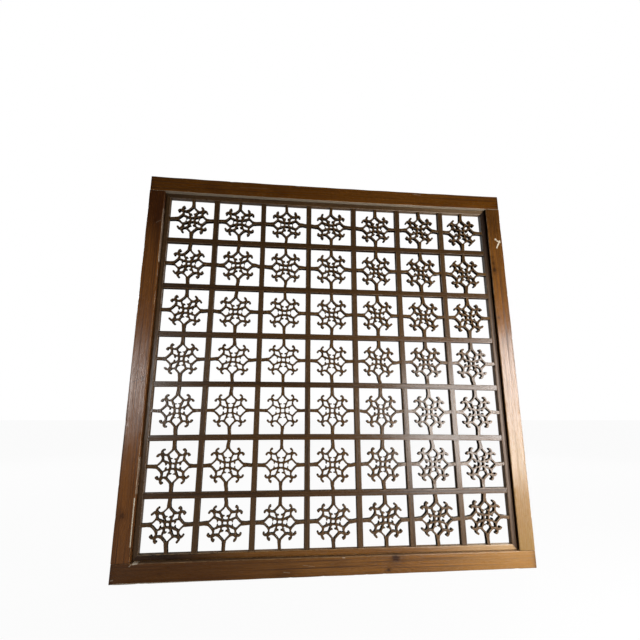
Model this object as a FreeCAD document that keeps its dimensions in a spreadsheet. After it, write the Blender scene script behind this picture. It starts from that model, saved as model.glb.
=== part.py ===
import FreeCAD, Part
import math
import os
import re

from FreeCAD import Vector

os.makedirs("parts", exist_ok=True)
doc = FreeCAD.newDocument("carved_screen")

# Driving sizes: name, millimetres (degrees for a turn), and what it measures.
# X runs across the panel, Y from its front to its back, Z up. The origin is the middle of the
# bottom face.
SIZES = (
    ("cell_count", 7, "cells along each side of the lattice"),
    ("pitch", 104.2, "from one bar's centre line to the next"),
    ("edge_clear", 96.0, "clear width of a cell beside the border"),
    ("bar_width", 11.0, "width of a lattice bar"),
    ("bar_depth", 12.0, "depth of a lattice bar, front to back"),
    ("bar_tenon_width", 5.0, "width of the tenon on a bar's end"),
    ("bar_tenon_depth", 6.0, "depth of the tenon on a bar's end"),
    ("border_width", 11.0, "face width of an inner border strip"),
    ("border_depth", 12.0, "depth of an inner border strip"),
    ("border_round", 1.8, "rounding of a border strip's front edges"),
    ("board_width", 33.4, "face width of a frame board"),
    ("board_depth", 30.0, "depth of a frame board"),
    ("board_arris", 1.2, "chamfer along a frame board's front edges"),
    ("recess", 10.0, "from the frame's front back to the lattice's front"),
    ("frame_tenon_length", 22.0, "length of the tenon on a stile's end"),
    ("frame_tenon_depth", 10.0, "depth of that tenon, front to back"),
    ("frame_tenon_shoulder", 6.0, "shoulder beside that tenon, on each side"),
    ("pin_diameter", 4.0, "diameter of a pin between border and frame"),
    ("pin_length", 16.0, "length of a pin"),
    ("pin_grip", 6.0, "length of a pin that lies in the border strip"),
    ("fit", 0.15, "clearance beside a tenon, a lap or a pin"),
    ("end_gap", 0.4, "clearance past the end of a tenon or a pin"),
    ("overrun", 2.0, "how far a cutting solid runs past what it cuts"),
    ("rosette_depth", 10.0, "depth of a rosette, front to back"),
    ("rosette_set_back", 0.6, "from the lattice's front back to a rosette's front"),
    ("strut_width", 6.4, "width of the strut between a rosette and a bar"),
    ("strut_tenon_width", 3.6, "width of the tenon on a strut's end"),
    ("strut_tenon_depth", 5.0, "depth of the tenon on a strut's end"),
    ("strut_tenon_root", 5.0, "length of that tenon inside the strut"),
    ("stroke_width", 3.4, "width of a carved line"),
    ("split_height", 34.6, "from the rosette's middle out to where a strut splits"),
    ("split_radius", 9.9, "radius where a line leaves the strut"),
    ("split_turn", 45.0, "turn of the line there"),
    ("split_run", 7.3, "straight run after that turn"),
    ("crotch_height", 29.6, "from the rosette's middle out to the notch below the split"),
    ("crotch_spread", 3.6, "half the width of the solid wood round that notch"),
    ("bay_radius", 7.6, "radius of the line round the foot of the scroll"),
    ("bay_turn", 90.0, "turn of the line there"),
    ("hook_run", 1.5, "straight run before the hook"),
    ("hook_radius", 3.9, "radius of the hook"),
    ("hook_turn", 122.0, "turn of the hook"),
    ("ball_radius", 2.2, "radius of the ball that ends a hook"),
    ("heart_reach", 4.8, "from the rosette's middle out to an inner arc"),
    ("heart_turn", 20.0, "turn round the scroll's foot where an inner arc joins"),
    ("barb_height", 13.6, "from the rosette's middle out to a pair of barbs"),
    ("barb_reach", 2.5, "from the middle line to the centre of a barb's tip"),
    ("barb_tip_radius", 0.9, "radius of a barb's tip"),
    ("barb_root_width", 3.0, "width of a barb where it leaves the arc"),
)

sheet = doc.addObject("Spreadsheet::Sheet", "sizes")
for row, (name, value, note) in enumerate(SIZES, start=1):
    sheet.set(f"A{row}", name)
    sheet.set(f"B{row}", str(value))
    sheet.setAlias(f"B{row}", name)
    sheet.set(f"C{row}", note)
doc.recompute()


def size(name):
    """The value that the sheet holds under a name."""
    return float(sheet.get(name))


def bound(text):
    """An expression on the sheet, from one written with the sizes' bare names."""
    names = {name for name, _, _ in SIZES}
    return re.sub(r"[a-z_]+", lambda word: f"sizes.{word[0]}" if word[0] in names else word[0], text)


def worked_out(text):
    """The number that such an expression comes to."""
    return float(sheet.evalExpression(bound(text)))


# Main lines of the panel, as expressions in the sizes above.
LATTICE = "((cell_count - 2) * pitch + bar_width + 2 * edge_clear)"
INSIDE = f"({LATTICE} + 2 * border_width)"
OUTSIDE = f"({INSIDE} + 2 * board_width)"
MIDDLE_HEIGHT = f"({OUTSIDE} / 2)"
LATTICE_FRONT = "(recess - board_depth / 2)"
LATTICE_MIDDLE = f"({LATTICE_FRONT} + bar_depth / 2)"
ROSETTE_FRONT = f"({LATTICE_FRONT} + rosette_set_back)"
ROSETTE_MIDDLE = f"({ROSETTE_FRONT} + rosette_depth / 2)"

ORIGIN = Vector(0, 0, 0)
ALONG_X = Vector(1, 0, 0)
ALONG_Y = Vector(0, 1, 0)
ALONG_Z = Vector(0, 0, 1)
QUARTER = 90

CELLS = int(size("cell_count"))
BAR_LINES = [f"({index} - cell_count / 2) * pitch" for index in range(1, CELLS)]
CELL_LINES = [f"({index} - (cell_count - 1) / 2) * pitch" for index in range(CELLS)]


def bind(thing, **expressions):
    """Bind an object's properties to expressions; x, y and z place it."""
    for name, text in expressions.items():
        name = f"Placement.Base.{name}" if name in ("x", "y", "z") else name
        thing.setExpression(name, bound(text))
    return thing


def box(label, across, deep, high, centre, home=doc, kind="Part::Box"):
    """A box given by its three sizes and its centre, as expressions."""
    thing = home.newObject(kind, label) if home is not doc else doc.addObject(kind, label)
    x, y, z = centre
    bind(thing, Length=across, Width=deep, Height=high)
    return bind(
        thing, x=f"{x} - ({across}) / 2", y=f"{y} - ({deep}) / 2", z=f"{z} - ({high}) / 2"
    )


def fuse(label, things):
    """One shape from several that touch or overlap, or that cut together."""
    thing = doc.addObject("Part::MultiFuse", label)
    thing.Shapes = things
    return thing


def cut(label, base, tool):
    """A base with a tool taken away."""
    thing = doc.addObject("Part::Cut", label)
    thing.Base = base
    thing.Tool = tool
    return thing


# An edge counts as in front within this share of the depth, as straight along from this cosine
# on, and as long from this share of the longest edge on.
FRONT_SHARE = 0.01
ALONG_SHARE = 0.99
LONG_SHARE = 0.5


def front_edges(shape, direction):
    """Names of the long straight edges along a direction on a shape's front face."""
    front = shape.BoundBox.YMin + FRONT_SHARE * shape.BoundBox.YLength
    long_one = LONG_SHARE * max(edge.Length for edge in shape.Edges)
    names = []
    for number, edge in enumerate(shape.Edges, start=1):
        along = abs(edge.tangentAt(edge.FirstParameter).dot(direction)) > ALONG_SHARE
        if along and edge.CenterOfMass.y < front and edge.Length > long_one:
            names.append(f"Edge{number}")
    return names


# Pins. Four blind pins along each border strip, clear of the mortises, go into the frame board.
PIN_PITCH_SHARES = (-2.25, -0.75, 0.75, 2.25)


def pin_row(label, side, upright, clearance, gap):
    """Cylinders along one side of the panel: the pins, or with a clearance their holes."""
    rods = []
    start = f"({INSIDE} / 2 - pin_grip - {gap})"
    for number, share in enumerate(PIN_PITCH_SHARES, start=1):
        line = f"{share} * pitch"
        rod = doc.addObject("Part::Cylinder", f"{label}_{number}")
        bind(rod, Radius=f"pin_diameter / 2 + {clearance}", Height=f"pin_length + 2 * {gap}")
        if upright:
            rod.Placement.Rotation = FreeCAD.Rotation(ALONG_Z, ALONG_X * side)
            bind(rod, x=f"{side} * {start}", z=f"{MIDDLE_HEIGHT} + {line}")
        else:
            rod.Placement.Rotation = FreeCAD.Rotation(ALONG_Z, ALONG_Z * side)
            bind(rod, x=line, z=f"{MIDDLE_HEIGHT} + {side} * {start}")
        bind(rod, y=f"{LATTICE_FRONT} + border_depth / 2")
        rods.append(rod)
    return rods


SIDES = {"top": (1, False), "bottom": (-1, False), "left": (-1, True), "right": (1, True)}
pin_holes = {
    name: fuse(f"pin_holes_{name}", pin_row(f"hole_{name}", side, upright, "fit", "end_gap"))
    for name, (side, upright) in SIDES.items()
}
pins = doc.addObject("Part::Compound", "border_pins")
pins.Links = [
    rod
    for name, (side, upright) in SIDES.items()
    for rod in pin_row(f"pin_{name}", side, upright, "0", "0")
]

nodes = [pins]

# Frame. The rails run the full width; the stiles stand between them on tenons.
STILE_X = f"(({INSIDE} + board_width) / 2)"
TENON_WIDTH = "(board_width - 2 * frame_tenon_shoulder)"


def ease_front(body, direction):
    """Chamfer the long front edges of a frame board."""
    doc.recompute()
    chamfer = body.newObject("PartDesign::Chamfer", f"{body.Name}_arris")
    base = body.Group[-2]
    chamfer.Base = (base, front_edges(base.Shape, direction))
    bind(chamfer, Size="board_arris")


def rail(name, side):
    """A rail with a blind mortise over each stile."""
    body = doc.addObject("PartDesign::Body", f"{name}_board")
    z = f"{MIDDLE_HEIGHT} + {side} * ({INSIDE} + board_width) / 2"
    box(f"{name}_blank", OUTSIDE, "board_depth", "board_width", ("0", "0", z), body,
        "PartDesign::AdditiveBox")
    ease_front(body, ALONG_X)
    for end in (-1, 1):
        box(
            f"{name}_mortise", f"{TENON_WIDTH} + 2 * fit", "frame_tenon_depth + 2 * fit",
            "2 * (frame_tenon_length + end_gap)",
            (f"{end} * {STILE_X}", "0", f"{MIDDLE_HEIGHT} + {side} * {INSIDE} / 2"),
            body, "PartDesign::SubtractiveBox",
        )
    return body


def stile(name, side):
    """A stile with a tenon on each end."""
    body = doc.addObject("PartDesign::Body", f"{name}_board")
    centre = (f"{side} * {STILE_X}", "0", MIDDLE_HEIGHT)
    box(f"{name}_blank", "board_width", "board_depth", INSIDE, centre, body,
        "PartDesign::AdditiveBox")
    ease_front(body, ALONG_Z)
    box(f"{name}_tenons", TENON_WIDTH, "frame_tenon_depth",
        f"{INSIDE} + 2 * frame_tenon_length", centre, body, "PartDesign::AdditiveBox")
    return body


for name, board in (("top_rail", rail), ("bottom_rail", rail), ("left_stile", stile),
                    ("right_stile", stile)):
    place = name.split("_")[0]
    side, upright = SIDES[place]
    nodes.append(cut(name, board(name, side), pin_holes[place]))

# Cutting rods. Long boxes that run across the whole lattice, one on each bar's or cell's line:
# they cut the mortises for tenons and the laps where bars cross.
REACH = f"({INSIDE} + 2 * overrun)"


def rods(label, lines, wide, deep, y, upright):
    """Boxes along the panel's width, or its height, on the lines given."""
    made = []
    for number, line in enumerate(lines, start=1):
        name = f"{label}_{number}"
        if upright:
            made.append(box(name, wide, deep, REACH, (line, y, MIDDLE_HEIGHT)))
        else:
            made.append(box(name, REACH, deep, wide, ("0", y, f"{MIDDLE_HEIGHT} + {line}")))
    return made


def bar_rods(label, upright):
    """Mortises of the bars' tenons that run one way."""
    return rods(label, BAR_LINES, "bar_tenon_width + 2 * fit", "bar_tenon_depth + 2 * fit",
                LATTICE_MIDDLE, upright)


def strut_rods(label, upright):
    """Mortises of the struts' tenons that run one way."""
    return rods(label, CELL_LINES, "strut_tenon_width + 2 * fit", "strut_tenon_depth + 2 * fit",
                ROSETTE_MIDDLE, upright)


def lap_rods(label, upright):
    """What the bars that run one way take out of the bars that cross them."""
    half = "(bar_depth / 2 + overrun)"
    side = 1 if upright else -1
    return rods(label, BAR_LINES, "bar_width + 2 * fit", half,
                f"{LATTICE_MIDDLE} + {side} * {half} / 2", upright)


# Lattice bars. The cross bars keep their front half at a crossing, the upright bars their back.
def bar(name, line, upright, tool):
    """One bar between shoulders on the border, with a tenon on each end."""
    whole = f"{LATTICE} + 2 * (border_width - end_gap)"
    if upright:
        centre = (line, LATTICE_MIDDLE, MIDDLE_HEIGHT)
        body = box(f"{name}_body", "bar_width", "bar_depth", LATTICE, centre)
        tenons = box(f"{name}_tenons", "bar_tenon_width", "bar_tenon_depth", whole, centre)
    else:
        centre = ("0", LATTICE_MIDDLE, f"{MIDDLE_HEIGHT} + {line}")
        body = box(f"{name}_body", LATTICE, "bar_depth", "bar_width", centre)
        tenons = box(f"{name}_tenons", whole, "bar_tenon_depth", "bar_tenon_width", centre)
    return cut(name, fuse(f"{name}_blank", [body, tenons]), tool)


for kind, upright in (("upright_bar", True), ("cross_bar", False)):
    tool = fuse(f"{kind}_tool", lap_rods(f"{kind}_laps", not upright)
                + strut_rods(f"{kind}_mortises", not upright))
    for number, line in enumerate(BAR_LINES, start=1):
        nodes.append(bar(f"{kind}_{number}", line, upright, tool))


# Inner border. Four strips with mitred ends and rounded front edges lie against the frame.
def border(name, turn, tool):
    """One mitred strip: the bottom one, turned about the panel's middle to its side."""
    body = doc.addObject("PartDesign::Body", f"{name}_strip")
    wedge = body.newObject("PartDesign::AdditiveWedge", f"{name}_blank")
    half_out = f"{INSIDE} / 2"
    half_in = f"{LATTICE} / 2"
    bind(wedge, Xmin=f"-{half_out}", Xmax=half_out, Ymin=f"-{half_out}", Ymax=f"-{half_in}",
         Zmin="-border_depth", Zmax="0", X2min=f"-{half_in}", X2max=half_in,
         Z2min="-border_depth", Z2max="0")
    # The wedge is drawn flat, with its outer side down; stood up, its face is the front.
    wedge.Placement.Rotation = FreeCAD.Rotation(ALONG_X, QUARTER)
    doc.recompute()
    fillet = body.newObject("PartDesign::Fillet", f"{name}_round")
    fillet.Base = (wedge, front_edges(wedge.Shape, ALONG_X))
    bind(fillet, Radius="border_round")
    body.Placement.Rotation = FreeCAD.Rotation(ALONG_Y, -QUARTER * turn)
    bind(body, y=LATTICE_FRONT, z=MIDDLE_HEIGHT)
    return cut(name, body, tool)


for turn, place in enumerate(("bottom", "right", "top", "left")):
    across = not SIDES[place][1]
    holes = bar_rods(f"border_{place}_bars", across) + strut_rods(f"border_{place}_struts", across)
    tool = fuse(f"border_{place}_tool", holes + [pin_holes[place]])
    nodes.append(border(f"border_{place}", turn, tool))


# Rosettes. Each is sawn out of one board: bands of an even width along arcs and straight runs.
def turned(centre, radius, angle):
    """The point at an angle, in degrees, on a circle in the panel's plane."""
    slope = math.radians(angle)
    return centre + Vector(math.cos(slope), 0, math.sin(slope)) * radius


def slab(edges):
    """A solid as deep as a rosette, inside a ring of edges."""
    return Part.Face(Part.Wire(edges)).extrude(ALONG_Y * size("rosette_depth"))


def polygon(points):
    """A slab with straight sides."""
    return slab([Part.makeLine(a, b) for a, b in zip(points, points[1:] + points[:1])])


def disc(centre, radius):
    """A round slab."""
    return slab([Part.makeCircle(radius, centre, ALONG_Y)])


def run_band(start, heading, length):
    """A carved line's band along a straight run."""
    half = size("stroke_width") / 2
    end = turned(start, length, heading)
    left, right = heading + QUARTER, heading - QUARTER
    return polygon([turned(start, half, left), turned(end, half, left),
                    turned(end, half, right), turned(start, half, right)])


def arc_band(centre, radius, first, last):
    """A carved line's band along an arc, from its first to its last angle."""
    half = size("stroke_width") / 2
    middle = (first + last) / 2
    outer = [turned(centre, radius + half, angle) for angle in (first, middle, last)]
    inner = [turned(centre, radius - half, angle) for angle in (last, middle, first)]
    return slab([
        Part.Arc(*outer).toShape(), Part.makeLine(outer[-1], inner[0]),
        Part.Arc(*inner).toShape(), Part.makeLine(inner[-1], outer[0]),
    ])


def scroll():
    """The line that leaves the left of the top strut: round the foot, and up into its hook."""
    side = (size("strut_width") - size("stroke_width")) / 2
    point = Vector(-side, 0, size("split_height"))
    heading = -QUARTER
    bands = []
    joint = None
    steps = (
        ("split_radius", "split_turn"), ("split_run", None), ("bay_radius", "bay_turn"),
        ("hook_run", None), ("hook_radius", "hook_turn"),
    )
    for length, turn in steps:
        if turn is None:
            bands.append(run_band(point, heading, size(length)))
            point = turned(point, size(length), heading)
            continue
        # A clockwise turn: its centre lies to the right of the heading.
        centre = turned(point, size(length), heading - QUARTER)
        first = heading + QUARTER
        bands.append(arc_band(centre, size(length), first, first - size(turn)))
        if length == "bay_radius":
            joint = turned(centre, size(length), first - size("heart_turn"))
        heading -= size(turn)
        point = turned(centre, size(length), heading + QUARTER)
    bands.append(disc(point, size("ball_radius")))
    return bands, joint


def heart_arc(joint):
    """The inner arc on the left: from scroll to scroll, past the rosette's middle."""
    bulge = size("heart_reach")
    rise, fall = joint.z, -bulge - joint.x
    radius = (rise ** 2 + fall ** 2) / (2 * fall)
    centre = Vector(-bulge - radius, 0, 0)
    spread = math.degrees(math.asin(rise / radius))
    return centre, radius, arc_band(centre, radius, -spread, spread)


def barb(centre, radius):
    """A barb in the top window, from the left inner arc towards the middle line."""
    height = size("barb_height")
    root = Vector(centre.x + math.sqrt(radius ** 2 - height ** 2), 0, height)
    tip = Vector(-size("barb_reach"), 0, height)
    half = Vector(0, 0, size("barb_root_width") / 2)
    point = Vector(0, 0, size("barb_tip_radius"))
    return [polygon([root - half, tip - point, tip + point, root + half]),
            disc(tip, size("barb_tip_radius"))]


def crotch():
    """The solid wood between the two lines that leave a strut, notched where they part."""
    side = (size("strut_width") - size("stroke_width")) / 2
    top, notch, spread = size("split_height"), size("crotch_height"), size("crotch_spread")
    return polygon([Vector(-side, 0, top), Vector(side, 0, top),
                    Vector(spread, 0, notch - spread), Vector(0, 0, notch),
                    Vector(-spread, 0, notch - spread)])


def round_about(shape, turn):
    """A copy turned by quarters about the rosette's middle: top, right, bottom, left."""
    copy = shape.copy()
    copy.rotate(ORIGIN, ALONG_Y, QUARTER * turn)
    return copy


def rosette_core():
    """The rosette without its struts."""
    bands, joint = scroll()
    centre, radius, arc = heart_arc(joint)
    left = bands + barb(centre, radius)
    quarter = left + [band.mirror(ORIGIN, ALONG_X) for band in left] + [arc, crotch()]
    whole = [round_about(band, turn) for turn in range(4) for band in quarter]
    return whole[0].multiFuse(whole[1:]).removeSplitter()


CORE = rosette_core()


def rosette(strut_ends):
    """A rosette with a strut, to a shoulder and a tenon, on each of its four sides."""
    split, half = size("split_height"), size("strut_width") / 2
    wide, thick = size("strut_tenon_width"), size("strut_tenon_depth")
    struts = []
    for turn, (shoulder, end) in enumerate(strut_ends):
        strut = polygon([Vector(-half, 0, split), Vector(half, 0, split),
                         Vector(half, 0, shoulder), Vector(-half, 0, shoulder)])
        root = shoulder - size("strut_tenon_root")
        corner = Vector(-wide / 2, (size("rosette_depth") - thick) / 2, root)
        tenon = Part.makeBox(wide, thick, end - root, corner)
        struts += [round_about(strut, turn), round_about(tenon, turn)]
    return CORE.multiFuse(struts).removeSplitter().Solids[0]


def strut_end(at_border):
    """How far a strut's shoulder and its tenon's end lie from the rosette's middle."""
    if at_border:
        shoulder = "(edge_clear + bar_width / 2 - pitch / 2)"
        return worked_out(shoulder), worked_out(f"{shoulder} + border_width - end_gap")
    return worked_out("(pitch - bar_width) / 2"), worked_out("pitch / 2 - end_gap")


shapes = {}
last = CELLS - 1
for row, line in enumerate(reversed(CELL_LINES)):
    solids = []
    for column, place in enumerate(CELL_LINES):
        # Which struts end at the border: top, right, bottom, left.
        edges = (row == 0, column == last, row == last, column == 0)
        if edges not in shapes:
            shapes[edges] = rosette([strut_end(edge) for edge in edges])
        solids.append(shapes[edges].translated(ALONG_X * worked_out(place)))
    node = doc.addObject("Part::Feature", f"rosette_row_{row + 1}")
    node.Shape = Part.makeCompound(solids)
    nodes.append(bind(node, y=ROSETTE_FRONT, z=f"{MIDDLE_HEIGHT} + {line}"))

doc.recompute()
for thing in doc.Objects:
    if "Invalid" in thing.State or "Error" in thing.State:
        raise RuntimeError(f"{thing.Label} did not compute: {thing.State}")
for node in nodes:
    if node.Shape.isNull() or not node.Shape.isValid() or not node.Shape.Solids:
        raise RuntimeError(f"{node.Label} has no valid solid")
for node in nodes:
    node.Shape.exportStep(f"parts/{node.Label}.step")
print(len(nodes), "sub-parts,", sum(len(node.Shape.Solids) for node in nodes), "solids")
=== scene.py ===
"""Looks of a joined wooden lattice panel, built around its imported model.

Four frame boards hold a mitred inner border and twelve half-lapped bars, and each of the
forty-nine cells holds a rosette sawn out of a thin board. Everything is in metres: X runs
across the panel, Y from its front to its back and Z up.
"""

import logging
import math
from dataclasses import dataclass, field, fields
from enum import Enum
from typing import ClassVar

import bpy
import numpy as np
from mathutils import Euler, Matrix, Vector
from mathutils.geometry import delaunay_2d_cdt


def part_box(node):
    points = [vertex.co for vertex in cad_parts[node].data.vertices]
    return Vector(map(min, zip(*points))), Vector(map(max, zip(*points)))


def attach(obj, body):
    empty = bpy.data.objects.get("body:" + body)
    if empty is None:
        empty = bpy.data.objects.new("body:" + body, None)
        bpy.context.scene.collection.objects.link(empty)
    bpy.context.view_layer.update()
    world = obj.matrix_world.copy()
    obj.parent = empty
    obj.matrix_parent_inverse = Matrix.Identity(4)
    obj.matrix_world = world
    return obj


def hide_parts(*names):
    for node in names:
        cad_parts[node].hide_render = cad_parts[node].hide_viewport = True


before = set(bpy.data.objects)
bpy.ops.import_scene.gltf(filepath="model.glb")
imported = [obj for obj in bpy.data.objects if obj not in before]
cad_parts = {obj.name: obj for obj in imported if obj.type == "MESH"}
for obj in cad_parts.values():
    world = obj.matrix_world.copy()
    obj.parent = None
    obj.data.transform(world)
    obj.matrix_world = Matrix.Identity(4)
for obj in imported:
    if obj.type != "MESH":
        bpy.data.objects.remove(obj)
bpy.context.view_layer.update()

logging.basicConfig(level=logging.INFO, format="%(message)s")
log = logging.getLogger("lattice_panel")

Array = np.ndarray
Colour = tuple[float, float, float]
MM = 0.001
ROOT = "root"
BARS = 6
CELLS = BARS + 1
WHITE = (1.0, 1.0, 1.0, 1.0)
GREY = (0.6, 0.6, 0.6, 1.0)


class Run(Enum):
    """Which way a stick of wood runs."""

    ACROSS = "across"
    UP = "up"


# Shapes


def waves(points: Array, seed: int, length: float, count: int = 7) -> Array:
    """Smooth noise, roughly from -1 to 1, over points of any dimension.

    It sums sines of plane waves: sin(way . p + phase), with the ways in random directions
    and their lengths between 0.6 and 1.7 of the one given.

    Args:
        points: Positions, with their coordinates on the last axis.
        seed: Seed of the random ways and phases.
        length: Typical wave length, in the points' unit.
        count: How many waves are summed.

    Returns:
        One value for each point.
    """
    rng = np.random.default_rng(seed)
    ways = rng.normal(size=(count, points.shape[-1]))
    ways /= np.linalg.norm(ways, axis=1, keepdims=True)
    ways *= 2 * np.pi / (length * rng.uniform(0.6, 1.7, (count, 1)))
    return np.sin(points @ ways.T + rng.uniform(0, 2 * np.pi, count)).sum(-1) / math.sqrt(count)


def ramp(value: Array, low: float, high: float) -> Array:
    """A smooth step from 0 at low to 1 at high."""
    share = np.clip((value - low) / (high - low), 0, 1)
    return share * share * (3 - 2 * share)


@dataclass
class Skin:
    """Points and faces of one closed surface, with what its finish reads at each point.

    Attributes:
        points: Places, one row each.
        quads: Faces of four corners, as rows of point numbers.
        triangles: Faces of three corners.
        grain: Each point in the wood's own directions: along it, across it and through it.
        state: How worn, how freshly sawn and how grimy the wood is at each point, from 0 to 1;
            the sawn share also carries painted shade on side walls.
    """

    points: Array
    quads: Array
    triangles: Array
    grain: Array
    state: Array

    def volume(self) -> float:
        """The signed volume: a sixth of the sum of p . (q x r) over the faces' triangles."""
        fans = [self.triangles, self.quads[:, [0, 1, 2]], self.quads[:, [0, 2, 3]]]
        p, q, r = (self.points[np.concatenate(fans)[:, corner]] for corner in range(3))
        return float(np.einsum("ij,ij->", p, np.cross(q, r))) / 6

    def outward(self) -> "Skin":
        """The same skin, with its faces turned round if they point inwards."""
        if self.volume() < 0:
            self.quads, self.triangles = self.quads[:, ::-1], self.triangles[:, ::-1]
        return self


def joined(skins: list[Skin]) -> Skin:
    """Several skins as one, each with its point numbers moved past those before it."""
    starts = np.cumsum([0] + [len(skin.points) for skin in skins[:-1]])
    return Skin(*[
        np.concatenate([getattr(skin, part.name) + start * (part.name in ("quads", "triangles"))
                        for skin, start in zip(skins, starts)])
        for part in fields(Skin)
    ])


def add_object(name: str, data: bpy.types.ID) -> bpy.types.Object:
    """Put new data into the scene as an object."""
    made = bpy.data.objects.new(name, data)
    bpy.context.scene.collection.objects.link(made)
    return made


def make_piece(name: str, skin: Skin, node: str,
               material: bpy.types.Material, crease: float = 38.0) -> bpy.types.Object:
    """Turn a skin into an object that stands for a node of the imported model.

    Args:
        name: The object's name.
        skin: Its surface.
        node: The node that it replaces.
        material: Its finish.
        crease: Edges that turn by more than this many degrees are shaded sharp.

    Returns:
        The object, at the origin, riding on the panel.
    """
    mesh = bpy.data.meshes.new(name)
    corners = np.concatenate([skin.quads.ravel(), skin.triangles.ravel()])
    quad_starts = np.arange(len(skin.quads)) * 4
    starts = np.concatenate([quad_starts, skin.quads.size + np.arange(len(skin.triangles)) * 3])
    mesh.vertices.add(len(skin.points))
    mesh.vertices.foreach_set("co", skin.points.astype(np.float32).ravel())
    mesh.loops.add(len(corners))
    mesh.loops.foreach_set("vertex_index", corners.astype(np.int32))
    mesh.polygons.add(len(starts))
    mesh.polygons.foreach_set("loop_start", starts.astype(np.int32))
    mesh.polygons.foreach_set("use_smooth", np.ones(len(starts), bool))
    for label, values in (("grain", skin.grain), ("state", skin.state)):
        attribute = mesh.attributes.new(label, "FLOAT_VECTOR", "POINT")
        attribute.data.foreach_set("vector", values.astype(np.float32).ravel())
    mesh.update(calc_edges=True)
    mesh.validate()
    mesh.set_sharp_from_angle(angle=math.radians(crease))
    mesh.materials.append(material)
    piece = add_object(name, mesh)
    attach(piece, ROOT)
    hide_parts(node)
    log.info("%s: %d points, %d faces", name, len(mesh.vertices), len(mesh.polygons))
    return piece


@dataclass(frozen=True)
class Dent:
    """A knock or a chip: how deep the surface is pressed in near a place.

    Attributes:
        along: Place along the stick.
        across: Place across it.
        through: Place from front to back.
        reach: Distance at which it has faded to about a third.
        depth: Depth at its middle.
    """

    along: float
    across: float
    through: float
    reach: float
    depth: float

    def press(self, places: Array) -> Array:
        """The depth at each place: depth times exp(-(distance / reach) squared)."""
        away = places - np.array([self.along, self.across, self.through])
        return self.depth * np.exp(-(away ** 2).sum(-1) / self.reach ** 2)


@dataclass
class Stations:
    """A stick's section at each place along it.

    Attributes:
        along: Places along the stick.
        low: The section's lower side, across the stick.
        high: Its upper side.
        front: Its front level.
        back: Its back level.
        front_round: Rounding of its two front edges, for the high side and the low side.
        back_round: Rounding of its two back edges.
    """

    along: Array
    low: Array
    high: Array
    front: Array
    back: Array
    front_round: Array
    back_round: Array

    @classmethod
    def even(cls, first: float, last: float, step: float, sides: tuple[float, float],
             levels: tuple[float, float], front_round: float, back_round: float,
             marks: tuple[float, ...] = ()) -> "Stations":
        """Stations at even steps between two ends, with more at the marks.

        Args:
            first: Where they begin.
            last: Where they end.
            step: About how far apart they are.
            sides: The section's lower and upper side, across the stick.
            levels: Its front and back level.
            front_round: Rounding of the front edges.
            back_round: Rounding of the back edges.
            marks: Places that get a station of their own.

        Returns:
            The stations.
        """
        count = max(2, int(round((last - first) / step)) + 1)
        along = np.unique(np.concatenate([np.linspace(first, last, count), np.array(marks)]))
        flat = np.ones_like(along)
        rounds = np.ones((len(along), 2))
        return cls(along, flat * sides[0], flat * sides[1], flat * levels[0], flat * levels[1],
                   rounds * front_round, rounds * back_round)

    def end_eased(self, ease: float, steps: int = 3) -> "Stations":
        """The stations with both ends rounded over.

        Each end station gives way to rings that are smaller by ease * (1 - cos t) and lie
        ease * (1 - sin t) in from the end, with t from 0 to a quarter turn.

        Args:
            ease: How far the rounding reaches.
            steps: How many steps it takes.

        Returns:
            New stations.
        """
        turns = np.linspace(0, np.pi / 2, steps + 1)
        shrink, inset = ease * (1 - np.cos(turns)), ease * (1 - np.sin(turns))
        head = [self._ring(0, inset[i], shrink[i]) for i in range(steps, -1, -1)]
        tail = [self._ring(-1, -inset[i], shrink[i]) for i in range(steps + 1)]
        return self._chain(head, slice(1, -1), tail)

    def tenoned(self, length: float, sides: tuple[float, float], levels: tuple[float, float],
                step: float = 0.02 * MM, rounding: float = 0.3 * MM) -> "Stations":
        """The stations with a tenon past each end: a smaller section that runs on.

        Args:
            length: How far a tenon runs on.
            sides: Its lower and upper side.
            levels: Its front and back level.
            step: How far on its first ring lies.
            rounding: Rounding of its edges.

        Returns:
            New stations.
        """
        rings = []
        for end, way in ((0, -1), (-1, 1)):
            for past in (step, length):
                ring = self._ring(end, way * past, 0.0)
                ring["low"], ring["high"] = sides
                ring["front"], ring["back"] = levels
                ring["front_round"] = ring["back_round"] = np.full(2, rounding)
                rings.append(ring)
        return self._chain([rings[1], rings[0]], slice(None), [rings[2], rings[3]])

    def _ring(self, end: int, forth: float, shrink: float) -> dict[str, object]:
        """One end ring, moved along and shrunk.

        Args:
            end: 0 for the first ring and -1 for the last.
            forth: How far it is moved.
            shrink: How far each of its sides is drawn in.

        Returns:
            The ring's values by name.
        """
        ring = {part.name: getattr(self, part.name)[end] for part in fields(self)}
        for name, change in (("along", forth), ("low", shrink), ("high", -shrink),
                             ("front", shrink), ("back", -shrink)):
            ring[name] = ring[name] + change
        return ring

    def _chain(self, head: list[dict], keep: slice, tail: list[dict]) -> "Stations":
        """The stations between rings that come before and after them."""
        return Stations(*[
            np.concatenate([np.array([ring[part.name] for ring in head]),
                            getattr(self, part.name)[keep],
                            np.array([ring[part.name] for ring in tail])])
            for part in fields(self)
        ])


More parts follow.
